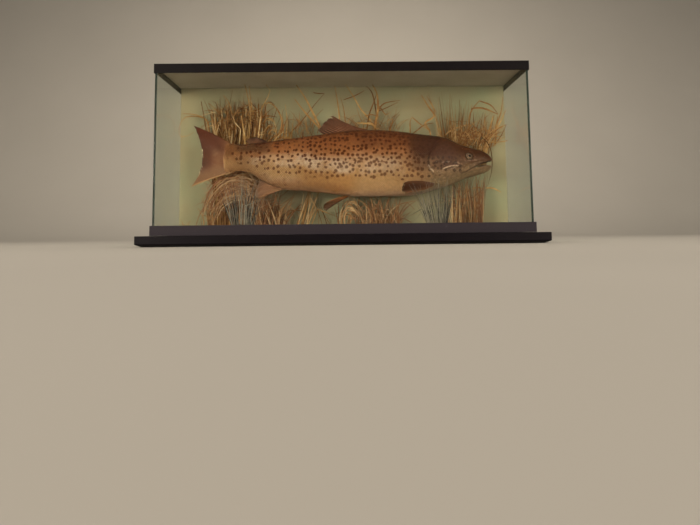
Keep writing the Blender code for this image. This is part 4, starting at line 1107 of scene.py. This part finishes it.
# tufts, a row each: the places and sizes are lowest and highest, lean and curl are degrees and their spread
tuftColumns = ("x", "y", "z", "rise", "count", "length", "lean", "fan", "curl", "width", "tone", "forward",
               "broken", "blush")
reedSettings = {
    "reeds_tail_low": (
        ((-272, -244), (40, 62), 24, 0, 12, (30, 80), (-4, 14), 0, (-10, 40), (1.2, 2.4), (0.3, 0.7),
         (0, 16), 0.15, 0.7),
        ((-312, -290), (36, 62), 24, 0, 8, (12, 28), (0, 30), 0, (0, 60), (1.0, 2.0), (0.4, 0.8), (0, 8),
         0.15, 0.5),
    ),
    "reeds_tail_high": (
        ((-248, -160), (58, 69), 24, 0, 150, (205, 262), (0, 1.6), 1, (0, 8), (2.0, 4.0), (0.15, 0.62),
         (0, 12), 0.0, 0),
        ((-252, -164), (50, 64), 168, 52, 165, (34, 86), (0, 8), 4, (0, 16), (1.1, 2.5), (0.12, 0.9),
         (0, 10), 0.4, 0),
        ((-250, -150), (48, 62), 222, 40, 70, (14, 40), (0, 55), 0, (0, 60), (0.8, 2.0), (0.15, 0.6),
         (0, 8), 0.4, 0),
        ((-262, -214), (46, 60), 150, 34, 36, (30, 62), (-4, 10), 0, (0, 20), (1.2, 2.8), (0.3, 0.75),
         (0, 10), 0.3, 0.4),
        ((-262, -150), (58, 66), 24, 0, 70, (50, 100), (0, 7), 6, (0, 20), (1.6, 3.0), (0.2, 0.6), (0, 8),
         0.15, 0.9),
        ((-262, -142), (20, 42), 62, 56, 110, (12, 34), (0, 70), 0, (0, 50), (0.6, 1.3), (-0.2, 1.3),
         (-3, 3), 0.0, 1.5),
    ),
    "reeds_tail_right": (
        ((-168, -114), (46, 67), 24, 0, 84, (44, 94), (-4, 15), 0, (0, 30), (1.2, 2.6), (-0.2, 1.1),
         (0, 14), 0.45, 0.9),
        ((-122, -102), (60, 68), 150, 20, 9, (60, 110), (0, 2), 0, (0, 6), (1.4, 2.4), (0.35, 0.7), (0, 10),
         0.15, 0),
        ((-160, -120), (50, 62), 176, 22, 16, (30, 70), (20, 30), 0, (60, 60), (1.2, 2.4), (0.3, 0.7),
         (0, 8), 0.15, 0),
    ),
    "reeds_middle_left": (
        ((-96, -66), (48, 67), 24, 0, 17, (70, 104), (15, 5), 0, (0, 8), (1.8, 3.2), (0.45, 0.9), (0, 10),
         0.1, 0.4),
        ((-96, -50), (60, 68), 190, 40, 34, (22, 60), (-6, 20), 0, (0, 40), (0.8, 1.7), (0.15, 0.6), (0, 6),
         0.3, 0.3),
        ((-50, -14), (62, 68), 24, 0, 4, (60, 90), (-24, 12), 0, (0, 5), (0.9, 1.5), (0.1, 0.4), (0, 6),
         0.0, 0),
    ),
    "reeds_middle_right": (
        ((-10, 6), (44, 66), 24, 0, 8, (50, 80), (0, 5), 0, (0, 20), (1.4, 2.6), (0.3, 0.8), (0, 12), 0.15,
         0.8),
        ((22, 106), (44, 67), 24, 0, 120, (40, 86), (4, 15), 0, (0, 40), (1.0, 2.4), (-0.15, 1.1), (0, 12),
         0.35, 1.0),
        ((6, 108), (60, 68), 200, 36, 54, (20, 52), (0, 32), 0, (0, 60), (0.7, 1.4), (0.2, 0.62), (0, 6),
         0.3, 0.3),
        ((46, 84), (60, 68), 160, 20, 10, (60, 100), (1, 6), 0, (0, 16), (1.4, 2.4), (0.2, 0.6), (0, 14),
         0.3, 0),
    ),
    "reeds_shoulder": (
        ((118, 146), (60, 68), 150, 20, 9, (44, 80), (3, 12), 0, (10, 30), (1.4, 2.4), (0.3, 0.6), (0, 8),
         0.15, 0),
    ),
    "reeds_nape": (
        ((198, 232), (58, 68), 120, 20, 60, (100, 160), (0, 3), 7, (0, 8), (0.9, 2.0), (0.2, 0.72), (0, 10),
         0.12, 0),
        ((204, 264), (30, 64), 24, 0, 100, (75, 125), (0, 5), 3, (0, 12), (0.9, 2.0), (-0.15, 1.0), (-4, 8),
         0.25, 0.8),
    ),
    "reeds_snout": (
        ((206, 296), (48, 62), 180, 26, 100, (24, 58), (12, 50), 0, (0, 45), (1.0, 2.2), (0.25, 0.75),
         (0, 10), 0.2, 0.3),
        ((250, 277), (60, 69), 130, 20, 16, (80, 120), (9, 6), 0, (0, 14), (1.4, 2.6), (0.2, 0.6), (0, 10),
         0.15, 0),
    ),
}
# bowed sheaves: where the blades rise and come down, how high they bow, and how far the bow leans
reedArches = {
    "reeds_tail_low": (
        {"left": (-276, -250), "right": (-160, -190), "foot": (28, 60), "top": (134, 88), "lean": 12,
         "y": (20, 48),
         "loose": 10, "count": 50, "width": (0.7, 1.6), "tone": (0.15, 0.95), "blush": 1.3},
    ),
    "reeds_tail_high": (
        {"left": (-262, -236), "right": (-134, -176), "foot": (40, 62), "top": (137, 100), "lean": 6,
         "loose": 11, "y": (22, 52), "count": 104, "width": (0.7, 1.9), "tone": (-0.1, 1.1), "blush": 1.2},
    ),
    "reeds_tail_right": (
        {"left": (-164, -152), "right": (-118, -132), "foot": (190, 196), "top": (246, 222), "lean": 4,
         "y": (52, 62), "loose": 3, "count": 9, "width": (1.2, 2.2), "tone": (0.35, 0.7), "blush": 0.0},
    ),
    "reeds_middle_right": (
        {"left": (-8, 12), "right": (40, 22), "foot": (26, 44), "top": (84, 44), "lean": -4, "y": (30, 52),
         "loose": 4, "count": 30, "width": (1.2, 2.4), "tone": (0.45, 0.95), "blush": 0.9},
    ),
}
# single leaves that stand out: width, tone, and the places that each passes through
singleReeds = {
    "reeds_tail_high": (
        (3.2, 0.75, ((-176, 66, 120), (-179, 62, 211), (-178, 53, 248), (-183, 43, 282), (-187, 30, 306))),
        (2.6, 0.7, ((-172, 66, 120), (-175, 61, 211), (-176, 53, 255), (-179, 44, 283), (-180, 36, 305))),
        (2.6, 0.75, ((-165, 66, 120), (-163, 62, 218), (-161, 56, 256), (-149, 51, 281), (-141, 45, 292),
                     (-141, 38, 301), (-147, 32, 306))),
        (3.4, 0.62, ((-148, 64, 190), (-140, 62, 207), (-125, 60, 215), (-119, 58, 236), (-126, 56, 259),
                     (-140, 54, 274), (-152, 52, 274))),
        (2.2, 0.5, ((-165, 60, 275), (-164, 59, 237), (-153, 59, 224), (-136, 58, 226))),
        (2.0, 0.35, ((-159, 60, 250), (-150, 58, 251), (-128, 56, 247))),
        (4.4, 0.75, ((-186, 46, 150), (-188, 42, 194), (-191, 40, 222), (-195, 38, 247))),
        (2.4, 0.55, ((-262, 64, 190), (-265, 62, 239), (-273, 56, 248), (-292, 50, 253), (-309, 44, 253))),
        (2.0, 0.6, ((-262, 60, 200), (-267, 58, 243), (-286, 56, 250), (-308, 54, 248), (-317, 52, 233),
                    (-317, 50, 210), (-302, 48, 210), (-288, 46, 217))),
        (3.0, 0.5, ((-234, 62, 150), (-235, 58, 227), (-241, 53, 256), (-261, 48, 274))),
        (3.4, 0.65, ((-206, 62, 150), (-209, 58, 228), (-215, 54, 250), (-222, 50, 276), (-232, 48, 289))),
        (2.4, 0.8, ((-236, 62, 150), (-238, 56, 211), (-239, 52, 240), (-249, 48, 254))),
        (2.6, 0.4, ((-178, 64, 150), (-170, 60, 211), (-160, 55, 240), (-157, 50, 272))),
        (2.0, 0.35, ((-150, 58, 274), (-142, 55, 277), (-133, 52, 271))),
    ),
    "reeds_tail_right": (
        (2.6, 0.7, ((-111, 66, 120), (-111, 62, 210), (-109, 56, 242), (-112, 50, 271))),
        (2.0, 0.55, ((-115, 66, 120), (-116, 62, 210), (-117, 58, 240), (-119, 54, 262))),
        (2.2, 0.3, ((-108, 66, 200), (-104, 64, 216), (-86, 60, 233), (-60, 56, 265), (-36, 52, 292))),
    ),
    "reeds_middle_left": (
        (4.2, 0.72, ((-30, 66, 200), (-44, 62, 227), (-60, 53, 258), (-73, 45, 283), (-89, 33, 305))),
        (3.4, 0.62, ((-30, 66, 210), (-47, 60, 227), (-67, 55, 248), (-83, 49, 267), (-93, 44, 280))),
        (2.0, 0.3, ((-58, 58, 296), (-47, 54, 293), (-36, 50, 292))),
        (2.6, 0.6, ((-5, 66, 190), (-7, 62, 250), (-10, 50, 276), (-15, 38, 304))),
        (2.0, 0.5, ((8, 66, 200), (4, 62, 247), (1, 57, 267), (-4, 52, 284))),
    ),
    "reeds_middle_right": (
        (3.0, 0.8, ((70, 66, 205), (55, 62, 239), (36, 53, 260), (19, 45, 288), (6, 34, 305))),
        (1.8, 0.4, ((2, 58, 281), (23, 53, 287), (44, 48, 297))),
        (4.2, 0.55, ((60, 66, 200), (65, 60, 235), (69, 53, 263), (67, 45, 289), (58, 36, 305))),
        (2.6, 0.35, ((46, 60, 215), (52, 56, 251), (59, 51, 269), (67, 46, 290))),
        (2.6, 0.3, ((66, 60, 250), (62, 56, 278), (56, 48, 295), (46, 40, 303))),
        (2.4, 0.4, ((60, 62, 225), (67, 58, 250), (79, 52, 270), (112, 46, 276))),
        (1.8, 0.35, ((62, 62, 235), (69, 60, 256), (85, 55, 263), (108, 50, 273))),
        (2.2, 0.45, ((64, 60, 272), (72, 56, 266), (85, 53, 249), (93, 50, 255))),
        (2.0, 0.5, ((42, 56, 247), (55, 54, 250), (71, 52, 245))),
        (2.4, 0.8, ((26, 40, 231), (45, 40, 230), (65, 40, 225))),
        (2.0, 0.75, ((38, 40, 227), (51, 40, 231), (67, 40, 219), (80, 40, 219))),
    ),
    "reeds_shoulder": (
        (3.6, 0.6,
         ((172, 66, 205), (171, 60, 217), (161, 57, 233), (179, 54, 246), (167, 51, 265), (154, 48, 286))),
        (2.2, 0.6, ((183, 58, 254), (174, 52, 269), (164, 46, 284))),
        (2.4, 0.6, ((132, 66, 200), (132, 60, 221), (132, 57, 237), (136, 54, 245))),
        (2.2, 0.6, ((137, 60, 245), (151, 60, 232), (171, 60, 217))),
        (2.6, 0.4, ((136, 64, 212), (148, 62, 221), (161, 60, 230), (178, 58, 233))),
    ),
    "reeds_snout": (
        (3.2, 0.55, ((246, 64, 185), (248, 60, 223), (248, 55, 245), (256, 49, 262), (267, 44, 274))),
        (3.4, 0.42, ((250, 48, 257), (255, 46, 259), (274, 45, 258), (301, 44, 246))),
        (2.8, 0.4, ((267, 46, 273), (288, 45, 264), (301, 44, 247))),
        (4.6, 0.65, ((274, 64, 150), (277, 60, 186), (285, 53, 214), (292, 46, 243))),
        (3.2, 0.75, ((276, 64, 160), (283, 60, 187), (293, 55, 211), (305, 49, 229), (317, 44, 255))),
        (2.4, 0.5, ((300, 66, 196), (301, 62, 223), (310, 55, 252), (313, 48, 281))),
        (3.0, 0.55, ((299, 66, 188), (300, 62, 200), (299, 57, 219), (303, 52, 244))),
        (1.5, 0.1, ((268, 42, 200), (277, 42, 192), (285, 42, 172), (285, 42, 138), (277, 42, 110))),
        (3.0, 0.7, ((276, 58, 104), (290, 55, 103), (304, 52, 95))),
        (2.4, 0.65, ((250, 58, 103), (262, 56, 105), (272, 54, 100))),
        (3.4, 0.8, ((200, 62, 208), (209, 60, 216), (224, 59, 223), (247, 57, 229), (252, 56, 227))),
        (2.6, 0.6, ((214, 58, 220), (230, 57, 212), (245, 56, 219))),
        (2.6, 0.5, ((236, 62, 180), (239, 58, 192), (244, 55, 215), (251, 52, 227))),
        (2.8, 0.6, ((285, 58, 192), (281, 57, 205), (286, 55, 215), (269, 54, 218))),
        (2.4, 0.55, ((249, 58, 196), (262, 56, 212), (278, 54, 208))),
    ),
}
grassSettings = {
    "grass_tail": (
        ((-192, -158), (-48, -36), 24, 0, 96, (45, 98), (-1, 4), 10, (0, 12), (0.6, 1.3), (0.0, 1.0),
         (-6, 4), 0.08, 0),
    ),
    "grass_throat": (
        ((150, 180), (-48, -36), 24, 0, 96, (45, 92), (-5, 4), 14, (0, 10), (0.5, 1.1), (0.0, 1.0), (-6, 4),
         0.05, 0),
    ),
}

straw = driedLeafMaterial("dried sedge and straw", ("#4c2a0f", "#83542b", "#ad8453", "#cfb189"), "#65401f")
grass = driedLeafMaterial("dyed dried grass", ("#1f1a19", "#403836", "#6b6159", "#94897c"), "#82766a")
for name, tufts in {**reedSettings, **grassSettings}.items():
    store = {"points": [], "faces": [], "uv": [], "tone": [], "count": 0}
    for tuft in tufts:
        growTuft(store, dict(zip(tuftColumns, tuft)))
    for arch in reedArches.get(name, ()):
        growArch(store, arch)
    for width, tone, places in singleReeds.get(name, ()):
        path = smoothPath(places, 14)
        addBlade(store, path, width, tone * 0.84, dice.normal(0, 0.25), tip=0.42, browning=0.2)
    slot, material = ("dried_grass", grass) if name.startswith("grass") else ("dried_reed", straw)
    finishPiece(bladePiece(name + "_blades", store), [name], material)
print("reeds ready")


# the case: black-painted base and lid, bound edges, glass panes, and a distempered back board

case = {
    "paintBevel": 0.9, "paneBevel": 0.35, "tapeBevel": 0.3,
    "underEdge": {"up": 4, "front": 9, "sides": 9, "back": 4.5},
}


def boxPiece(name, node, bevel, segments=3, underEdge=None):
    low, high = (Vector(corner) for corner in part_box(node))
    if underEdge:
        low.z += underEdge["up"] * mm
    deselectAll()
    bpy.ops.mesh.primitive_cube_add(size=1, location=(low + high) / 2, scale=high - low)
    piece = bpy.context.object
    piece.name = piece.data.name = name
    bpy.ops.object.transform_apply(location=True, rotation=True, scale=True)
    if underEdge:  # the lowest face goes down to the floor and draws in
        front, sides, back = (underEdge[k] * mm for k in ("front", "sides", "back"))
        size = high - low
        bpy.context.tool_settings.mesh_select_mode = (False, False, True)
        for face in piece.data.polygons:
            face.select = face.normal.z < -0.9
        bpy.ops.object.mode_set(mode="EDIT")
        bpy.ops.mesh.extrude_region_move(TRANSFORM_OT_translate={"value": (0, 0, -underEdge["up"] * mm)})
        bpy.ops.transform.resize(value=(1 - 2 * sides / size.x, 1 - (front + back) / size.y, 1),
                                 center_override=((low.x + high.x) / 2, (low.y + high.y) / 2, 0))
        bpy.ops.transform.translate(value=(0, (front - back) / 2, 0))
        bpy.ops.object.mode_set(mode="OBJECT")
    softened = piece.modifiers.new("softened edges", "BEVEL")
    softened.width, softened.segments = bevel * mm, segments
    bpy.ops.object.modifier_apply(modifier=softened.name)
    for face in piece.data.polygons:  # rounded edges are shaded smooth, the flats stay flat
        face.use_smooth = max(abs(n) for n in face.normal) < 0.999
    return piece


def blackPaintMaterial(name, colour, worn, roughness):
    # brushed black paint over pine: dull gloss, faint brush lines, and brown rubbed through in patches
    material, tree, shader = newMaterial(name, colour, roughness, **{"Specular IOR Level": 0.09})
    place = addNode(tree, "TexCoord", out="Object")
    along, across = 1 / (60 * mm), 1 / (1.2 * mm)
    stretched = addNode(tree, "Mapping", {"Vector": place, "Scale": (along, across, across)})
    strokes = addNode(tree, "TexNoise", {"Vector": stretched, "Scale": 1.0, "Detail": 3.0})
    inputs = {"Vector": place, "Scale": 1 / (22 * mm), "Detail": 5.0, "Roughness": 0.65}
    patches = addNode(tree, "TexNoise", inputs)
    rubbed = addNode(tree, "MapRange", (patches, 0.62, 0.74, 0.0, 1.0), interpolation_type="SMOOTHSTEP")
    colour = paintOver(tree, colour, (("#6a5a52", 0.04, patches, strokes), (worn, 0.35, rubbed)))
    dressShader(tree, shader, colour, (patches, 0.3, roughness - 0.15), (strokes, 0.12, 0.5))
    return material


def distemperMaterial():
    # sage distemper: matt, cloudy, warmer where it has yellowed, with brush marks and damp stains
    soft = {"Specular IOR Level": 0.2}
    material, tree, shader = newMaterial("sage distempered board", "#8d8c66", 0.9, **soft)
    place = addNode(tree, "TexCoord", out="Object")
    inputs = {"Vector": place, "Scale": 1 / (120 * mm), "Detail": 5.0, "Roughness": 0.6}
    cloud = addNode(tree, "TexNoise", inputs)
    grain = addNode(tree, "TexNoise", {"Vector": place, "Scale": 1 / (1.6 * mm), "Detail": 2.0})
    sweep = addNode(tree, "Mapping", {"Vector": place, "Scale": (1 / (45 * mm), 1.0, 1 / (4 * mm))})
    brushed = addNode(tree, "TexNoise", {"Vector": sweep, "Scale": 1.0, "Detail": 2.0})
    tints = ((0.30, "#8d7a60"), (0.46, "#8b7e66"), (0.60, "#87826a"), (0.78, "#7c7f6a"))
    colour = addNode(tree, "ValToRGB", (cloud,), stops=tints)
    colour = paintOver(tree, colour, (("#9a967d", 0.25, brushed), ("#5f5b3c", 0.12, grain)))
    height = addNode(tree, "Math", (grain, 0.4, brushed), operation="MULTIPLY_ADD")
    dressShader(tree, shader, colour, None, (height, 0.2, 0.5))
    return material


def glassMaterial(name, tint):
    # drawn sheet glass with a faint green cast, which the lamps shine through
    material, tree, shader = newMaterial(name, tint, 0.01, **{"Transmission Weight": 1.0, "IOR": 1.5})
    isShadow = addNode(tree, "LightPath", out="Is Shadow Ray")
    clear = addNode(tree, "BsdfTransparent", {"Color": "#eef4ef"})
    mix = addNode(tree, "MixShader", (isShadow, shader.outputs[0], clear))
    tree.links.new(mix, tree.nodes["Material Output"].inputs["Surface"])
    return material


def splitFaces(piece, material, isSecond):  # some faces take a second material
    piece.data.materials.append(material)
    for face in piece.data.polygons:
        face.material_index = 1 if isSecond(face.normal) else 0


paint = blackPaintMaterial("brushed black paint", "#0a060d", "#1d141a", 0.44)
binding = blackPaintMaterial("black paper binding", "#0e0a0d", "#261c20", 0.48)
# the foot rails' binding is lighter than the top strips': partly dust, partly a painted sheen
footBindingDustAndSheen = blackPaintMaterial("dusty black paper binding with painted sheen", "#322d33", "#4b434a", 0.48)
# the lid's papered underside, aged to olive brown
lining = mottledMaterial("aged paper lining", "#857656", 0.85, 70, 5.0, ("#958775", "#baad9b"),
                         bump=(0.3, 0.3), **{"Specular IOR Level": 0.2})
# the cut edge of sheet glass, where the light has run the length of the pane and come out dark green
cutEdge = mottledMaterial("cut glass edge", "#1f2c26", 0.3, 3, 3.0, ("#161f1b", "#33463d"),
                          **{"Coat Weight": 0.6, "Coat Roughness": 0.1})
for node, underEdge in (("base_board", case["underEdge"]), ("lid_board", None)):
    piece = boxPiece(node + "_painted", node, case["paintBevel"], 3, underEdge)
    finishPiece(piece, [node], paint)
splitFaces(piece, lining, lambda normal: normal.z < -0.9)  # the lid's underside
for word, material in (("foot_rail", footBindingDustAndSheen), ("top_strip", binding)):
    for node in (f"{word}_{place}" for place in ("front", "left", "right")):
        finishPiece(boxPiece(node + "_bound", node, case["tapeBevel"], 2), [node], material)
pane = glassMaterial("drawn sheet glass", "#f1f4ef")
for node, across in (("glass_front", 1), ("glass_left", 0), ("glass_right", 0)):
    piece = boxPiece(node + "_pane", node, case["paneBevel"], 2)
    finishPiece(piece, [node], pane)
    splitFaces(piece, cutEdge, lambda normal: abs(normal[across]) <= 0.9)
distemper = distemperMaterial()
for node in ("back_board", "floor_lining"):
    piece = boxPiece(node + "_distempered", node, 0.5, 2)
    finishPiece(piece, [node], distemper)
    if node == "back_board":  # its outside is black
        splitFaces(piece, paint, lambda normal: normal.y > 0.9)
print("case ready")


# bright drawn steel rod, gone dull
steel = mottledMaterial("dulled steel rod", "#6f6a63", 0.45, 4, 4.0, ("#77716a", "#54453a"), (0.3, 0.3),
                        Metallic=1.0)
for node in ("mount_rod_front", "mount_rod_rear"):
    dressNode(node, steel)

# floor, light and camera

studio = {
    "cameraPlace": (0.0065, -0.9893, 0.020), "yaw": 0.34, "pitch": 5.0, "roll": -0.62, "lens": 27.84,
    "shiftY": -0.110, "room": 0.045,
    "lights": (
        ("left_softbox", (-1.95, -2.2, 0.34), 1.3, 79), ("right_softbox", (2.05, -2.1, 0.30), 1.3, 64),
        ("overhead", (0.0, -0.7, 2.4), 2.0, 26), ("backdrop", (0.0, 0.9, 1.9), 1.6, 14),
    ),
}


def studioFloor():
    points = []
    for k in range(25):
        t = k / 24
        y = -2.4 + 5.2 * t
        z = -0.0004 if y < 1.3 else -0.0004 + 1.9 * ((y - 1.3) / 1.5) ** 2.2
        points.append([(x, y, z) for x in (-4, -1.5, 1.5, 4)])
    floor = gridPiece("studio_floor", np.array(points))
    floor.data.shade_smooth()
    # matt studio paper, faintly uneven
    tints = ("#bfbab1", "#c6c1b8")
    floor.data.materials.append(mottledMaterial("matte paper backdrop", "#c2bdb4", 0.9, 333.3, 3.0, tints))


def placeLights():
    world = bpy.data.worlds.new("soft studio room")
    bpy.context.scene.world = world
    world.use_nodes = True
    sky = world.node_tree.nodes["Background"]
    sky.inputs["Color"].default_value = hexColour("#e9e6e0")
    sky.inputs["Strength"].default_value = studio["room"]
    for name, place, size, power in studio["lights"]:
        bpy.ops.object.light_add(type="AREA", location=place)
        light = bpy.context.object
        light.name = name + "_light"
        light.data.size = size
        light.data.energy = power
        light.data.color = hexColour("#fff3e2")[:3]
        aim = Vector((0, 0, 0.15)) - light.location if place[1] < 0 else Vector((0, 0.4, -1))
        light.rotation_euler = aim.to_track_quat("-Z", "Y").to_euler()


def placeCamera():
    bpy.ops.object.camera_add(location=studio["cameraPlace"])
    camera = bpy.context.object
    camera.name = "case_front_camera"
    camera.data.lens = studio["lens"]
    camera.data.sensor_width = 36
    camera.data.clip_start = 0.01
    camera.data.shift_y = studio["shiftY"]
    turn = Matrix.Rotation(math.radians(-studio["yaw"]), 4, "Z")
    tilt = Matrix.Rotation(math.radians(90 + studio["pitch"]), 4, "X")
    lean = Matrix.Rotation(math.radians(studio["roll"]), 4, "Z")
    camera.matrix_world = Matrix.Translation(camera.location) @ turn @ tilt @ lean
    bpy.context.scene.camera = camera


studioFloor()
placeLights()
placeCamera()
bpy.context.scene.view_settings.view_transform = "Standard"  # colours as painted, without a film curve
print("studio ready")
